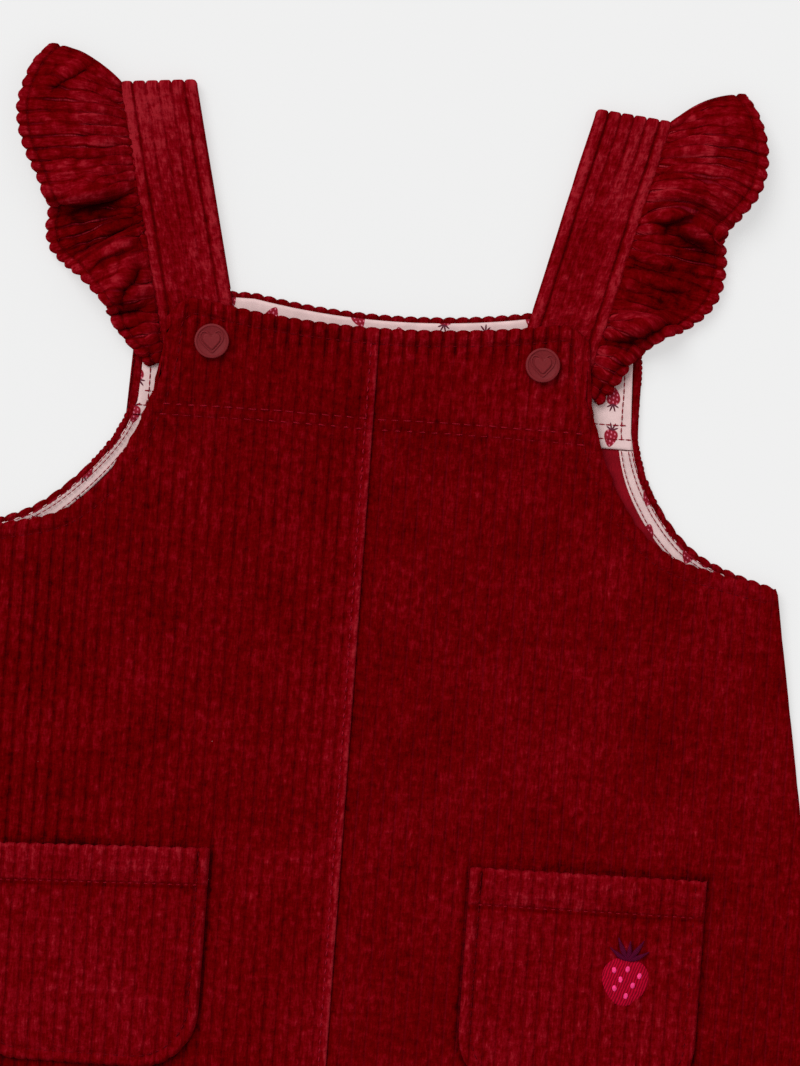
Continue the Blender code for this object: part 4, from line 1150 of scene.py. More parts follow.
def button(side, rubber):
    """A flat press-stud cap with a thin rim and a heart raised in its middle."""
    rim = BUTTON_RADIUS
    top = BUTTON_THICK - 0.35 * MM
    profile = (
        (0.0, top),
        (rim - 1.05 * MM, top),
        (rim - 0.85 * MM, top + 0.10 * MM),
        (rim - 0.72 * MM, top + 0.35 * MM),
        (rim - 0.40 * MM, top + 0.37 * MM),
        (rim - 0.12 * MM, top + 0.25 * MM),
        (rim, top - 0.10 * MM),
        (rim, 0.5 * MM),
        (rim - 0.5 * MM, 0.0),
        (0.0, 0.0),
    )
    bm = bmesh.new()
    verts = [bm.verts.new((out, 0.0, up)) for out, up in profile]
    edges = [bm.edges.new(pair) for pair in zip(verts[:-1], verts[1:], strict=True)]
    bmesh.ops.spin(
        bm,
        geom=[*verts, *edges],
        cent=(0, 0, 0),
        axis=(0, 0, 1),
        angle=2 * math.pi,
        steps=72,
        use_merge=True,
    )
    bmesh.ops.remove_doubles(bm, verts=bm.verts, dist=0.005 * MM)
    for size, thick, filled in ((7.7 * MM, 0.30 * MM, False), (5.1 * MM, 0.42 * MM, True)):
        heart = heart_ridge(size, top + 0.04 * MM, thick, filled)
        bm.from_mesh(heart)
        bpy.data.meshes.remove(heart)
    bmesh.ops.recalc_face_normals(bm, faces=bm.faces)
    place = Matrix.Translation((side * BUTTON_OUT, BUTTON_UP + BIB_LINE, BUTTON_LOW))
    turned = Matrix.Rotation(math.radians(3 if side > 0 else 6), 4, "Z")
    bmesh.ops.transform(bm, matrix=place @ turned, verts=bm.verts)
    for face in bm.faces:
        face.smooth = True
    word = "right" if side > 0 else "left"
    mesh = bpy.data.meshes.new(f"button_cap_{word}")
    bm.to_mesh(mesh)
    bm.free()
    mesh.materials.append(rubber)
    mesh.set_sharp_from_angle(angle=math.radians(38))
    thing = bpy.data.objects.new(mesh.name, mesh)
    bpy.context.scene.collection.objects.link(thing)
    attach(thing, "root")
    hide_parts(f"button_{word}")
    return thing


# ---- the sewing ----


def paced(line, pitch, start=0.5):
    """Points along a line at an even pace, and the ways that the line runs there."""
    run = np.concatenate([[0], np.cumsum(np.linalg.norm(np.diff(line, axis=0), axis=1))])
    at = np.arange(start * pitch, run[-1] - 0.3 * pitch, pitch)
    ends = [np.clip(at + step * pitch, 0, run[-1]) for step in (0, -0.3, 0.3)]
    spots = [np.stack([np.interp(e, run, line[:, k]) for k in range(2)], axis=1) for e in ends]
    return spots


def run_of_stitches(line, pitch, surface, length, width, start=0.5):
    """Stitches along a flat line, each (middle, way, length, width), lying on a surface."""
    spots, before, after = paced(np.asarray(line, float), pitch, start)
    wander = 0.12 * MM * soft_noise(spots[:, 0] + 1, spots[:, 1] + 1, 5 * MM, 120)
    spots, before, after = (spot + wander[:, None] for spot in (spots, before, after))
    middles = np.column_stack([spots, surface(*spots.T)])
    ways = np.column_stack([after, surface(*after.T)]) - np.column_stack([before, surface(*before.T)])
    return [(m, w, length, width) for m, w in zip(middles, ways, strict=True)]


def sew(name, stitches, thread):
    """All the stitches of one seam as one piece."""
    bm = bmesh.new()
    for middle, way, length, width in stitches:
        turn = Vector(way).to_track_quat("X", "Z").to_matrix().to_4x4()
        size = Matrix.Diagonal((length / 2, width / 2, width * 0.42, 1.0))
        place = Matrix.Translation(Vector(middle) + Vector((0, BIB_LINE, 0.1 * width)))
        bmesh.ops.create_uvsphere(
            bm, u_segments=6, v_segments=5, radius=1.0, matrix=place @ turn @ size
        )
    for face in bm.faces:
        face.smooth = True
    mesh = bpy.data.meshes.new(name)
    bm.to_mesh(mesh)
    bm.free()
    mesh.materials.append(thread)
    thing = bpy.data.objects.new(name, mesh)
    bpy.context.scene.collection.objects.link(thing)
    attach(thing, "root")
    return thing


def front_top_at(side, x, y):
    """The height of stitches pulled down into the front's pile."""
    out = np.abs(x)
    heights = [front_surface(side, out + dx * MM, y + dy * MM) for dx, dy in ((0, 0), (0.6, 0), (-0.6, 0))]
    return np.max(heights, axis=0) - 0.10 * MM


def sew_front(side, thread, plain_thread):
    word = "right" if side > 0 else "left"
    surface = lambda x, y: front_top_at(side, x, y)  # noqa: E731
    edge = moved_in(FRONT_EDGE, EDGE_STITCH, EDGE_STITCH)
    edge = edge[edge[:, 0] > 0] * [side, 1]
    topstitch = run_of_stitches(edge, 3.0 * MM, surface, 2.2 * MM, 0.42 * MM)
    sew(f"edge_stitches_{word}", topstitch, plain_thread)
    rows = []
    for up in YOKE_STITCHES:
        reach = float(np.interp(-up, -FRONT_TOP[:, 1], FRONT_TOP[:, 0])) - 1.5 * MM
        row = [(side * out, up + 0.5 * MM * math.sin(out / (23 * MM))) for out in np.linspace(2 * MM, reach, 40)]
        rows += run_of_stitches(row, 4.1 * MM, surface, 3.3 * MM, 0.62 * MM, 0.3 if up > -36 * MM else 0.6)
    sew(f"yoke_stitches_{word}", rows, thread)
    hem = [(side * out, hem_at(out) + HEM_STITCH) for out in np.linspace(1 * MM, HEM_OUT - 4 * MM, 30)]
    sew(f"hem_stitches_{word}", run_of_stitches(hem, 3.4 * MM, surface, 2.4 * MM, 0.42 * MM), plain_thread)
    if side < 0:
        seam = [(-SEAM_STITCH, up) for up in np.linspace(-3 * MM - NECK_DIP, HEM_UP + 2 * MM, 60)]
        sew("seam_stitches", run_of_stitches(seam, 2.95 * MM, surface, 2.0 * MM, 0.62 * MM), thread)


def sew_pocket(side, thread, plain_thread):
    word = "right" if side > 0 else "left"
    width = POCKET_OUT - POCKET_IN
    slope = POCKET_SLOPES[side]

    def surface(x, y):
        across = np.abs(x) - POCKET_IN
        heights = [pocket_relief(side, across + dx * MM, y, 41 + side)[0] for dx in (-0.5, 0, 0.5)]
        return POCKET_BASE + np.max(heights, axis=0) - 0.12 * MM

    inset = 3.7 * MM
    low_line = pocket_low_line(width)
    middle = np.array([width / 2, POCKET_DOWN + 30 * MM])
    pull = (low_line - middle) * [1 - 2 * inset / width, 1 - inset / (30 * MM)]
    low = pull + middle
    top = POCKET_UP - 1.0 * MM
    path = np.concatenate([[[inset, top]], low, [[width - inset, top + slope * width]]])
    path = along_line(path, np.linspace(0, 1, 160))
    path = (path + [POCKET_IN, 0]) * [side, 1]
    band = [(side * (POCKET_IN + a), POCKET_UP - POCKET_BAND + slope * a) for a in np.linspace(3 * MM, width - 3 * MM, 30)]
    sew(f"pocket_stitches_{word}", run_of_stitches(path, 2.9 * MM, surface, 2.1 * MM, 0.42 * MM), plain_thread)
    sew(f"pocket_band_stitches_{word}", run_of_stitches(band, 2.7 * MM, surface, 1.7 * MM, 0.5 * MM), thread)


def sew_facing(side, thread):
    """The red stitching that shows on the pale facing and tape."""
    word = "right" if side > 0 else "left"
    inner = moved_in(BACK_ARM, FACING_INSET, FACING_INSET)
    runs = []

    def surface(x, y):
        return np.full(np.shape(x), FACING_LOW + FACING_WALL * 0.86)

    for up in (-30.5 * MM, -35.2 * MM):
        reach = float(np.interp(-up, -inner[:, 1], inner[:, 0])) - 0.4 * MM
        row = [(side * out + back_shift(up), up) for out in np.linspace(60 * MM, reach, 20)]
        runs += run_of_stitches(row, 2.3 * MM, surface, 2.4 * MM, 0.56 * MM)
    beside = moved_in(BACK_ARM, FACING_INSET + 3.3 * MM, FACING_INSET + 3.3 * MM)
    beside = beside[(beside[:, 1] < 0) & (beside[:, 1] > FACING_DOWN)]
    beside = np.column_stack([side * beside[:, 0] + back_shift(beside[:, 1]), beside[:, 1]])
    runs += run_of_stitches(beside, 2.2 * MM, surface, 2.3 * MM, 0.52 * MM)
    top = FACING_DOWN - GAP
    for first, last in ((0.35, 0.45), (1.25, 1.75), (2.95, 4.8)):
        line = cut_below(moved_in(BACK_ARM, FACING_INSET + first * MM, FACING_INSET + last * MM)[:-1], top)
        line = np.column_stack([side * line[:, 0] + back_shift(line[:, 1]), line[:, 1]])
        runs += run_of_stitches(line, 2.0 * MM, surface, 2.15 * MM, 0.44 * MM)
    sew(f"facing_stitches_{word}", runs, thread)


def sew_frill(side, thread):
    """The stitches that hold the frill's turned hem."""
    points, walls, _, _ = frill_points(side)
    rows = points.shape[1]
    row = rows - 1 - int(np.sum(HEM_STEPS < FRILL_HEM + 0.1 * MM)) + 1
    ways = np.gradient(points, axis=0)[:, row]
    slopes = points[:, row + 2] - points[:, row - 2]
    ups = np.cross(ways, slopes) * side
    ups /= np.linalg.norm(ups, axis=1)[:, None] + 1e-12
    ups *= np.sign(ups[:, 2:3]) + (ups[:, 2:3] == 0)
    upper = np.sum(np.linalg.norm(np.diff(points[:, -1], axis=0), axis=1))
    line = points[:, row] + ups * (walls[:, row][:, None] - 0.12 * MM)
    run = np.concatenate([[0], np.cumsum(np.linalg.norm(np.diff(line, axis=0), axis=1))])
    shown = float(np.interp(len(line) * 0.70, np.arange(len(line)), run))
    stitches = []
    for at in np.arange(2 * MM, min(shown, upper), 2.9 * MM):
        spot, before, after = (
            np.array([np.interp(at + step * MM, run, line[:, k]) for k in range(3)]) for step in (0, -0.8, 0.8)
        )
        stitches.append((spot, after - before, 2.0 * MM, 0.40 * MM))
    sew("frill_stitches_right" if side > 0 else "frill_stitches_left", stitches, thread)


# ---- the embroidered berry ----

BERRY_OUT = 97.6 * MM
BERRY_UP = -215.4 * MM
BERRY_WIDE = 17.4 * MM
BERRY_TALL = 16.6 * MM
BERRY_LIFT = 0.9 * MM
BERRY_TURN = 4.0

Seed = namedtuple("Seed", "across up turn")
SEEDS = (
    Seed(-4.1, 3.4, 8),
    Seed(0.3, 4.3, -4),
    Seed(4.5, 2.6, -10),
    Seed(-1.6, 0.6, 5),
    Seed(2.7, -0.8, -6),
    Seed(-3.2, -2.6, 12),
    Seed(0.9, -4.6, -8),
)
Leaf = namedtuple("Leaf", "turn length width bend")
LEAVES = (
    Leaf(72, 7.4, 1.7, 0.5),
    Leaf(36, 8.4, 1.8, 0.3),
    Leaf(-2, 6.8, 1.6, -0.1),
    Leaf(-37, 8.6, 1.8, -0.3),
    Leaf(-70, 7.6, 1.7, -0.5),
)


def embroidery(name, bm, place, thread):
    bmesh.ops.transform(bm, matrix=place, verts=bm.verts)
    bmesh.ops.recalc_face_normals(bm, faces=bm.faces)
    for face in bm.faces:
        face.smooth = True
    mesh = bpy.data.meshes.new(name)
    bm.to_mesh(mesh)
    bm.free()
    mesh.materials.append(thread)
    thing = bpy.data.objects.new(name, mesh)
    bpy.context.scene.collection.objects.link(thing)
    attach(thing, "root")
    return thing


def berry(body_thread, seed_thread, leaf_thread):
    """A berry in satin stitch on the right pocket, with its own seeds and leaves."""
    base = POCKET_BASE + WALL + 0.75 * RIB
    lay = Matrix.Translation((BERRY_OUT, BERRY_UP + BIB_LINE, base))
    place = lay @ Matrix.Rotation(math.radians(-BERRY_TURN), 4, "Z")

    def dome(share):
        return BERRY_LIFT * math.sqrt(max(1 - share**2, 0.0))

    bm = bmesh.new()
    bmesh.ops.create_uvsphere(bm, u_segments=56, v_segments=20, radius=1.0)
    for vert in bm.verts:
        share = math.hypot(vert.co.x, vert.co.y)
        turn = math.atan2(vert.co.x, vert.co.y)
        wide = 1.0 - 0.34 * ((1 - math.cos(turn)) / 2) ** 1.6
        notch = 0.08 * math.exp(-((turn / 0.32) ** 2))
        x = math.sin(turn) * share * wide * BERRY_WIDE / 2
        y = math.cos(turn) * share * (1 - notch) * BERRY_TALL / 2
        rows = 0.05 * MM * math.sin(y / (0.42 * MM) + 1.6 * math.sin(x / (2.1 * MM)))
        vert.co = (x, y, vert.co.z * BERRY_LIFT + (rows if vert.co.z > 0.1 else 0.0))
    embroidery("berry_satin", bm, place, body_thread)

    bm = bmesh.new()
    for seed in SEEDS:
        share = math.hypot(seed.across / 7.7, seed.up / 8.2)
        spot = Matrix.Translation((seed.across * MM, seed.up * MM, dome(share) + 0.04 * MM))
        turn = Matrix.Rotation(math.radians(seed.turn), 4, "Z")
        size = Matrix.Diagonal((0.74 * MM, 1.05 * MM, 0.36 * MM, 1.0))
        bmesh.ops.create_uvsphere(bm, u_segments=12, v_segments=8, radius=1.0, matrix=spot @ turn @ size)
    embroidery("berry_seeds", bm, place, seed_thread)

    bm = bmesh.new()
    crown = Matrix.Translation((0, BERRY_TALL / 2 - 1.2 * MM, 0.55 * MM))
    for index, leaf in enumerate(LEAVES):
        made = bmesh.ops.create_uvsphere(bm, u_segments=10, v_segments=14, radius=1.0)
        for vert in made["verts"]:
            along = (vert.co.z + 1) / 2
            fat = 0.55 + 0.45 * math.sin(math.pi * min(along * 1.25, 1.0))
            x = vert.co.x * fat * leaf.width / 2 + leaf.bend * 3.0 * along**2
            vert.co = Vector((x, along * leaf.length, vert.co.y * 0.36 + 0.08 * index)) * MM
        turn = Matrix.Rotation(math.radians(leaf.turn), 4, "Z")
        bmesh.ops.transform(bm, matrix=crown @ turn, verts=made["verts"])
    embroidery("berry_leaves", bm, place, leaf_thread)


# ---- materials ----


def set_up_material(name):
    """A material with its shader, and its node tree."""
    material = bpy.data.materials.new(name)
    material.use_nodes = True
    return material, material.node_tree, material.node_tree.nodes["Principled BSDF"]


def socket_named(node, way, name):
    return next(s for s in getattr(node, way) if s.name == name and s.enabled)


def lay_node(tree, kind, settings=None, **inputs):
    """A shader node with its settings, its inputs either values or links."""
    node = tree.nodes.new(kind)
    for name, value in (settings or {}).items():
        setattr(node, name, value)
    for name, value in inputs.items():
        socket = socket_named(node, "inputs", name.replace("_", " "))
        if isinstance(value, bpy.types.NodeSocket):
            tree.links.new(value, socket)
        else:
            socket.default_value = value
    return node


def sum_up(tree, operation, first, second=0.0, third=0.0, clamp=False):
    """The answer of one Math node."""
    node = tree.nodes.new("ShaderNodeMath")
    node.operation = operation
    node.use_clamp = clamp
    for socket, value in zip(node.inputs, (first, second, third), strict=False):
        if isinstance(value, bpy.types.NodeSocket):
            tree.links.new(value, socket)
        else:
            socket.default_value = value
    return node.outputs[0]


def blended(tree, share, first, second, way="MIX"):
    """A mix of two colours."""
    node = tree.nodes.new("ShaderNodeMix")
    node.data_type = "RGBA"
    node.blend_type = way
    sockets = [s for s in node.inputs if s.enabled]
    for socket, value in zip(sockets, (share, first, second), strict=False):
        if isinstance(value, bpy.types.NodeSocket):
            tree.links.new(value, socket)
        elif socket.type == "RGBA":
            socket.default_value = (*value, 1.0)
        else:
            socket.default_value = value
    return next(s for s in node.outputs if s.enabled)


def spread(tree, value, low, high, to_low=0.0, to_high=1.0):
    """A value brought from one range to another, held inside it."""
    settings = {"interpolation_type": "SMOOTHSTEP"}
    sizes = {"From_Min": low, "From_Max": high, "To_Min": to_low, "To_Max": to_high}
    return lay_node(tree, "ShaderNodeMapRange", settings, Value=value, **sizes).outputs[0]


def noise_at(tree, place, scale, detail=2.0, roughness=0.5, stretch=(1.0, 1.0, 1.0)):
    """Noise over a place in millimetres."""
    moved = lay_node(tree, "ShaderNodeMapping", {"vector_type": "POINT"}, Vector=place, Scale=stretch)
    sizes = {"Scale": scale, "Detail": detail, "Roughness": roughness}
    noise = lay_node(tree, "ShaderNodeTexNoise", None, Vector=moved.outputs[0], **sizes)
    return noise.outputs[0]


def new_group(name, takes, gives):
    tree = bpy.data.node_groups.new(name, "ShaderNodeTree")
    for way, sockets in (("INPUT", takes), ("OUTPUT", gives)):
        for label, kind in sockets.items():
            tree.interface.new_socket(label, in_out=way, socket_type=kind)
    return tree, tree.nodes.new("NodeGroupInput"), tree.nodes.new("NodeGroupOutput")


def use_group(tree, group, **inputs):
    node = tree.nodes.new("ShaderNodeGroup")
    node.node_tree = group
    for name, value in inputs.items():
        socket = node.inputs[name]
        if isinstance(value, bpy.types.NodeSocket):
            tree.links.new(value, socket)
        else:
            socket.default_value = value
    return node


def pile_group():
    """The look of the pile: painted shade in the grooves, mottled, streaked and crushed on the ribs, with a painted
    highlight on their edges.
    """
    takes = {"Cloth": "NodeSocketVector", "Nap": "NodeSocketVector"}
    gives = {"Colour": "NodeSocketColor", "Normal": "NodeSocketVector"}
    tree, entry, end = new_group("corduroy_pile", takes, gives)
    cloth = lay_node(tree, "ShaderNodeSeparateXYZ", None, Vector=entry.outputs["Cloth"])
    nap_and_shade = lay_node(tree, "ShaderNodeSeparateXYZ", None, Vector=entry.outputs["Nap"])
    # The nap's tone brings each piece's painted light and shade; its second value sets the painted groove shade.
    tone, dark, bare = nap_and_shade.outputs[0], nap_and_shade.outputs[1], nap_and_shade.outputs[2]
    flat = lay_node(
        tree,
        "ShaderNodeCombineXYZ",
        None,
        X=sum_up(tree, "MULTIPLY", cloth.outputs[0], 1000.0),
        Y=sum_up(tree, "MULTIPLY", cloth.outputs[1], 1000.0),
    ).outputs[0]
    middle = cloth.outputs[2]
    mottle = noise_at(tree, flat, 0.34, 2.0, 0.60, (1.0, 0.8, 1.0))
    crush = noise_at(tree, flat, 0.50, 2.0, 0.55, (0.5, 1.0, 1.0))
    streak = noise_at(tree, flat, 1.15, 3.0, 0.7, (1.0, 0.22, 1.0))
    grain = noise_at(tree, flat, 1.6, 2.0, 0.6)
    drift = noise_at(tree, flat, 0.045, 2.0, 0.5)
    value = sum_up(tree, "ADD", tone, 0.5)
    for noise, reach in ((mottle, 0.62), (crush, 0.46), (streak, 1.05), (grain, 0.34), (drift, 0.42)):
        value = sum_up(tree, "MULTIPLY_ADD", sum_up(tree, "SUBTRACT", noise, 0.5), reach, value)
    # A painted highlight along the edges of the ribs beside open grooves.
    rim = sum_up(tree, "MULTIPLY", spread(tree, middle, 0.22, 0.38), spread(tree, middle, 0.40, 0.62, 1.0, 0.0))
    opened = sum_up(tree, "SUBTRACT", bare, 1.0, clamp=True)
    value = sum_up(tree, "MULTIPLY_ADD", sum_up(tree, "MULTIPLY", rim, opened), 0.26, value)
    # Painted shade in the grooves.
    groove = spread(tree, middle, 0.10, 0.50, 1.0, 0.0)
    painted_groove_shade = sum_up(tree, "MULTIPLY", groove, dark)
    value = sum_up(tree, "MULTIPLY_ADD", painted_groove_shade, -0.42, value)
    ramp = tree.nodes.new("ShaderNodeValToRGB")
    shades = ramp.color_ramp.elements
    while len(shades) < len(PILE_SHADES):
        shades.new(0.5)
    for element, shade in zip(shades, PILE_SHADES, strict=True):
        element.position = shade.place
        element.color = (*shade.colour, 1.0)
    tree.links.new(value, ramp.inputs[0])
    line = spread(tree, middle, 0.04, 0.18, 1.0, 0.0)
    ladder = spread(tree, noise_at(tree, flat, 1.0, 2.0, 0.5, (0.2, 1.0, 1.0)), 0.35, 0.60, 0.35, 1.0)
    line = sum_up(tree, "MULTIPLY", line, ladder)
    share = sum_up(tree, "MULTIPLY", line, sum_up(tree, "MINIMUM", bare, 1.0))
    shown = blended(tree, share, ramp.outputs[0], GROOVE_LINE)
    thin = spread(tree, middle, 0.06, 0.16, 1.0, 0.0)
    ticks = spread(tree, noise_at(tree, flat, 1.9, 1.0, 0.5, (0.25, 1.0, 1.0)), 0.42, 0.56, 0.30, 1.0)
    open_line = sum_up(tree, "MULTIPLY", opened, thin)
    shown = blended(tree, sum_up(tree, "MULTIPLY", open_line, ticks), shown, LADDER_PINK)
    lint = lay_node(tree, "ShaderNodeTexVoronoi", None, Vector=flat, Scale=0.045)
    speck = spread(tree, lint.outputs["Distance"], 0.006, 0.010, 1.0, 0.0)
    shown = blended(tree, speck, shown, LINT)
    tree.links.new(shown, end.inputs["Colour"])
    relief = sum_up(tree, "MULTIPLY", mottle, 0.9)
    for noise, reach in ((crush, 0.7), (streak, 0.45), (grain, 0.3)):
        relief = sum_up(tree, "MULTIPLY_ADD", noise, reach, relief)
    bump = lay_node(tree, "ShaderNodeBump", None, Strength=0.9, Distance=0.8 * MM, Height=relief)
    tree.links.new(bump.outputs[0], end.inputs["Normal"])
    return tree


def attribute(tree, name):
    return lay_node(tree, "ShaderNodeAttribute", {"attribute_name": name}).outputs["Vector"]


def pile_material(group):
    material, tree, shader = set_up_material("corduroy_pile")
    look = use_group(tree, group, Cloth=attribute(tree, "cloth"), Nap=attribute(tree, "nap_and_shade"))
    tree.links.new(look.outputs["Colour"], shader.inputs["Base Color"])
    tree.links.new(look.outputs["Normal"], shader.inputs["Normal"])
    shader.inputs["Roughness"].default_value = 1.0
    shader.inputs["Specular IOR Level"].default_value = 0.0
    shader.inputs["Sheen Weight"].default_value = 0.35
    shader.inputs["Sheen Roughness"].default_value = 0.35
    shader.inputs["Sheen Tint"].default_value = (0.55, 0.006, 0.022, 1.0)
    return material


def wrong_side_material():
    """The smooth woven side of the corduroy."""
    material, tree, shader = set_up_material("corduroy_wrong_side")
    cloth = attribute(tree, "cloth")
    flat = lay_node(tree, "ShaderNodeMapping", None, Vector=cloth, Scale=(1000, 1000, 0)).outputs[0]
    weave = noise_at(tree, flat, 2.4, 2.0, 0.6, (1.0, 0.35, 1.0))
    cloudy = noise_at(tree, flat, 0.16, 2.0, 0.5)
    tone = sum_up(tree, "MULTIPLY", spread(tree, weave, 0.3, 0.7, 0.86, 1.14), 1.0)
    tone = sum_up(tree, "MULTIPLY", tone, spread(tree, cloudy, 0.35, 0.65, 0.9, 1.1))
    toned = lay_node(tree, "ShaderNodeVectorMath", {"operation": "SCALE"}, Vector=WRONG_SIDE, Scale=tone)
    tree.links.new(toned.outputs[0], shader.inputs["Base Color"])
    bump = lay_node(tree, "ShaderNodeBump", None, Strength=0.4, Distance=0.2 * MM, Height=weave)
    tree.links.new(bump.outputs[0], shader.inputs["Normal"])
    shader.inputs["Roughness"].default_value = 0.95
    shader.inputs["Specular IOR Level"].default_value = 0.03
    return material


def thread_material(name, colour, ply, turn, shine=0.03):
    """Twisted or satin-stitched thread: fine strands at a turn."""
    material, tree, shader = set_up_material(name)
    place = lay_node(tree, "ShaderNodeTexCoord").outputs["Object"]
    turned = lay_node(
        tree,
        "ShaderNodeMapping",
        None,
        Vector=place,
        Rotation=(0.0, 0.0, math.radians(turn)),
        Scale=(1000, 1000, 1000),
    ).outputs[0]
    wave = lay_node(
        tree,
        "ShaderNodeTexWave",
        {"wave_type": "BANDS", "bands_direction": "X"},
        Vector=turned,
        Scale=ply,
        Distortion=3.2,
        Detail=2.0,
    ).outputs["Fac"]
    fuzz = noise_at(tree, turned, 1.2, 2.0, 0.6)
    tone = sum_up(tree, "MULTIPLY", spread(tree, wave, 0.0, 1.0, 0.55, 1.30), spread(tree, fuzz, 0.3, 0.7, 0.85, 1.15))
    toned = lay_node(tree, "ShaderNodeVectorMath", {"operation": "SCALE"}, Vector=colour, Scale=tone)
    tree.links.new(toned.outputs[0], shader.inputs["Base Color"])
    bump = lay_node(tree, "ShaderNodeBump", None, Strength=0.6, Distance=0.2 * MM, Height=wave)
    tree.links.new(bump.outputs[0], shader.inputs["Normal"])
    shader.inputs["Roughness"].default_value = 0.7
    shader.inputs["Specular IOR Level"].default_value = shine
    return material


def inside_oval(tree, x, y, middle, radii, soft=0.12):
    """1 inside an oval of a print, 0 outside it."""
    along = sum_up(tree, "DIVIDE", sum_up(tree, "SUBTRACT", x, middle[0]), radii[0])
    up = sum_up(tree, "DIVIDE", sum_up(tree, "SUBTRACT", y, middle[1]), radii[1])
    square = sum_up(tree, "ADD", sum_up(tree, "MULTIPLY", along, along), sum_up(tree, "MULTIPLY", up, up))
    return spread(tree, square, 1 - soft, 1 + soft, 1.0, 0.0)


def print_group():
    """A small scattered berry print: berries with dots and thin leaves, turned to and fro."""
    gives = {"Berry": "NodeSocketFloat", "Dots": "NodeSocketFloat", "Leaves": "NodeSocketFloat"}
    tree, entry, end = new_group("berry_print", {"Place": "NodeSocketVector"}, gives)
    parts = lay_node(tree, "ShaderNodeSeparateXYZ", None, Vector=entry.outputs["Place"])
    u = sum_up(tree, "DIVIDE", parts.outputs[0], 14.5)
    column = sum_up(tree, "FLOOR", u)
    drop = sum_up(tree, "MULTIPLY", column, 0.43)
    v = sum_up(tree, "ADD", sum_up(tree, "DIVIDE", parts.outputs[1], 13.0), drop)
    row = sum_up(tree, "FLOOR", v)
    x = sum_up(tree, "MULTIPLY", sum_up(tree, "SUBTRACT", sum_up(tree, "FRACT", u), 0.5), 14.5)
    y = sum_up(tree, "MULTIPLY", sum_up(tree, "SUBTRACT", sum_up(tree, "FRACT", v), 0.5), 13.0)
    both = sum_up(tree, "ADD", column, row)
    cell = lay_node(tree, "ShaderNodeCombineXYZ", None, X=column, Y=row).outputs[0]
    chance = lay_node(tree, "ShaderNodeTexWhiteNoise", {"noise_dimensions": "3D"}, Vector=cell).outputs[0]
    half_turn = sum_up(tree, "MULTIPLY", sum_up(tree, "FLOORED_MODULO", both, 2.0), math.pi)
    angle = sum_up(tree, "MULTIPLY_ADD", sum_up(tree, "SUBTRACT", chance, 0.5), 1.1, half_turn)
    spot = lay_node(tree, "ShaderNodeCombineXYZ", None, X=x, Y=y).outputs[0]
    turned = lay_node(
        tree, "ShaderNodeVectorRotate", {"rotation_type": "Z_AXIS"}, Vector=spot, Angle=angle
    ).outputs[0]
    local = lay_node(tree, "ShaderNodeSeparateXYZ", None, Vector=turned)
    x, y = local.outputs[0], local.outputs[1]
    narrowed = sum_up(tree, "MULTIPLY_ADD", y, 0.30, 2.35)
    wide = sum_up(tree, "DIVIDE", sum_up(tree, "MULTIPLY", x, 2.35), narrowed)
    body = inside_oval(tree, wide, y, (0.0, -0.5), (2.30, 3.0))
    tree.links.new(body, end.inputs["Berry"])
    dots_x = sum_up(tree, "PINGPONG", x, 0.62)
    dots_y = sum_up(tree, "PINGPONG", sum_up(tree, "ADD", y, sum_up(tree, "MULTIPLY", x, 0.35)), 0.72)
    dot = inside_oval(tree, dots_x, dots_y, (0.0, 0.0), (0.26, 0.34), 0.4)
    tree.links.new(sum_up(tree, "MULTIPLY", dot, body), end.inputs["Dots"])
    leaves = 0.0
    for turn, length in ((-1.05, 2.3), (-0.35, 2.7), (0.35, 2.7), (1.05, 2.3)):
        from_crown = sum_up(tree, "SUBTRACT", y, 2.1)
        cos, sin = math.cos(turn), math.sin(turn)
        across = sum_up(tree, "MULTIPLY_ADD", x, cos, sum_up(tree, "MULTIPLY", from_crown, -sin))
        along = sum_up(tree, "MULTIPLY_ADD", x, sin, sum_up(tree, "MULTIPLY", from_crown, cos))
        stroke = inside_oval(tree, across, along, (0.0, length / 2), (0.30, length / 2), 0.25)
        leaves = stroke if turn < -1 else sum_up(tree, "MAXIMUM", leaves, stroke)
    tree.links.new(leaves, end.inputs["Leaves"])
    return tree


def cotton_material():
    """Pale printed cotton."""
    material, tree, shader = set_up_material("printed_cotton")
    cloth = attribute(tree, "cloth")
    flat = lay_node(tree, "ShaderNodeMapping", None, Vector=cloth, Scale=(1000, 1000, 0)).outputs[0]
    weave = noise_at(tree, flat, 3.0, 2.0, 0.6)
    cloudy = noise_at(tree, flat, 0.2, 2.0, 0.5)
    tone = sum_up(
        tree, "MULTIPLY", spread(tree, weave, 0.3, 0.7, 0.95, 1.05), spread(tree, cloudy, 0.3, 0.7, 0.94, 1.06)
    )
    toned = lay_node(tree, "ShaderNodeVectorMath", {"operation": "SCALE"}, Vector=COTTON_PINK, Scale=tone)
    printed = use_group(tree, print_group(), Place=flat)
    colour = blended(tree, printed.outputs["Berry"], toned.outputs[0], PRINT_RED)
    colour = blended(tree, printed.outputs["Dots"], colour, PRINT_DOT)
    colour = blended(tree, printed.outputs["Leaves"], colour, PRINT_PLUM)
    tree.links.new(colour, shader.inputs["Base Color"])
    bump = lay_node(tree, "ShaderNodeBump", None, Strength=0.3, Distance=0.15 * MM, Height=weave)
    tree.links.new(bump.outputs[0], shader.inputs["Normal"])
    shader.inputs["Roughness"].default_value = 0.9
    shader.inputs["Specular IOR Level"].default_value = 0.1
    return material


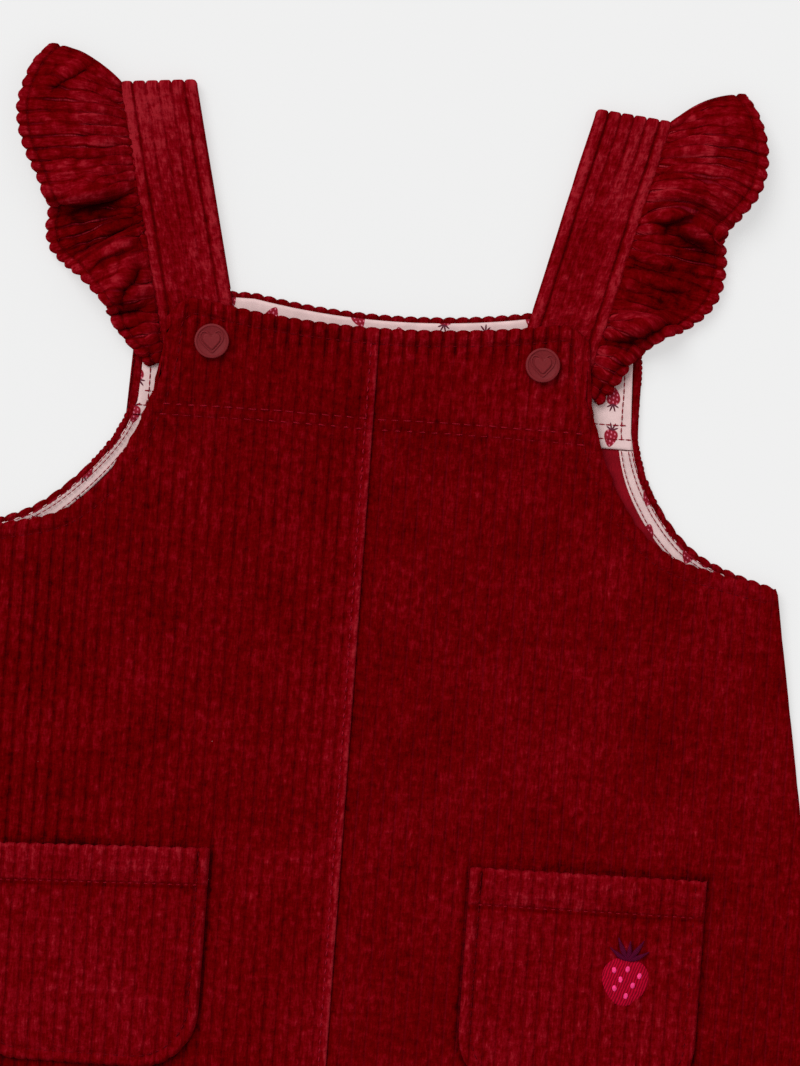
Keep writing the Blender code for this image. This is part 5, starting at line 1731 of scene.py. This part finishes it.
def button_material():
    """Matt moulded button."""
    material, tree, shader = set_up_material("matt_button")
    place = lay_node(tree, "ShaderNodeTexCoord").outputs["Object"]
    flat = lay_node(tree, "ShaderNodeMapping", None, Vector=place, Scale=(1000, 1000, 1000)).outputs[0]
    grain = noise_at(tree, flat, 1.4, 3.0, 0.6)
    tone = spread(tree, grain, 0.3, 0.7, 0.92, 1.08)
    toned = lay_node(tree, "ShaderNodeVectorMath", {"operation": "SCALE"}, Vector=BUTTON_RED, Scale=tone)
    tree.links.new(toned.outputs[0], shader.inputs["Base Color"])
    bump = lay_node(tree, "ShaderNodeBump", None, Strength=0.15, Distance=0.1 * MM, Height=grain)
    tree.links.new(bump.outputs[0], shader.inputs["Normal"])
    shader.inputs["Roughness"].default_value = 0.6
    shader.inputs["Specular IOR Level"].default_value = 0.12
    return material


def floor_material():
    material, tree, shader = set_up_material("pale_floor")
    shader.inputs["Base Color"].default_value = (*FLOOR_PALE, 1.0)
    shader.inputs["Emission Color"].default_value = (1.0, 1.0, 1.0, 1.0)
    shader.inputs["Emission Strength"].default_value = FLOOR_GLOW
    shader.inputs["Roughness"].default_value = 1.0
    shader.inputs["Specular IOR Level"].default_value = 0.0
    return material


# ---- the stage ----


def lay_floor():
    bm = bmesh.new()
    bmesh.ops.create_grid(bm, x_segments=1, y_segments=1, size=3.0)
    bmesh.ops.translate(bm, verts=bm.verts, vec=(0.0, 0.0, -0.02 * MM))
    mesh = bpy.data.meshes.new("floor")
    bm.to_mesh(mesh)
    bm.free()
    mesh.materials.append(floor_material())
    floor = bpy.data.objects.new("floor", mesh)
    bpy.context.scene.collection.objects.link(floor)


def light_studio():
    """One wide soft light from the upper left, and an even pale surround."""
    world = bpy.data.worlds.new("surround")
    world.use_nodes = True
    surround = world.node_tree.nodes["Background"]
    surround.inputs[0].default_value = (1.0, 1.0, 1.0, 1.0)
    surround.inputs[1].default_value = 0.56
    bpy.context.scene.world = world
    lamp = bpy.data.lights.new("softbox", "SUN")
    lamp.energy = 1.95
    lamp.angle = math.radians(42)
    light = bpy.data.objects.new("softbox", lamp)
    light.rotation_euler = Vector((0.50, -0.62, -1.0)).to_track_quat("-Z", "Y").to_euler()
    bpy.context.scene.collection.objects.link(light)


def set_camera():
    """The camera over the dress, turned a little, as the photograph was framed."""
    lens = bpy.data.cameras.new("camera")
    lens.sensor_fit = "VERTICAL"
    lens.sensor_height = 36.0
    lens.lens = 150.0
    lens.clip_start = 0.05
    camera = bpy.data.objects.new("camera", lens)
    camera.location = (0.0119, BIB_LINE - 0.0717, 0.3553 * 150.0 / 36.0 + 0.006)
    camera.rotation_euler = (0.0, 0.0, math.radians(4.2))
    bpy.context.scene.collection.objects.link(camera)
    bpy.context.scene.camera = camera


def make_dress():
    pile = pile_material(pile_group())
    wrong_side = wrong_side_material()
    cotton = cotton_material()
    rubber = button_material()
    thread = thread_material("sewing_thread", THREAD_RED, 0.6, 20.0)
    plain_thread = thread_material("matching_thread", THREAD_DARK, 0.6, 20.0)
    red_thread = thread_material("facing_thread", PRINT_RED, 0.6, 20.0)
    back_panel(wrong_side, pile)
    back_facing(cotton)
    for side in (1, -1):
        armhole_tape(side, cotton)
        armhole_tufts(side, pile)
        front_half(side, [pile, wrong_side])
        strap(side, pile)
        frill(side, wrong_side, pile)
        pocket(side, wrong_side, pile)
        button(side, rubber)
        sew_front(side, thread, plain_thread)
        sew_pocket(side, thread, plain_thread)
        sew_facing(side, red_thread)
        sew_frill(side, plain_thread)
    berry(
        thread_material("berry_thread", BERRY_RED, 0.36, 18.0, 0.03),
        thread_material("seed_thread", SEED_PINK, 0.8, 0.0, 0.10),
        thread_material("leaf_thread", LEAF_PLUM, 0.7, 30.0, 0.05),
    )


make_dress()
lay_floor()
light_studio()
set_camera()
bpy.context.scene.view_settings.view_transform = "Standard"
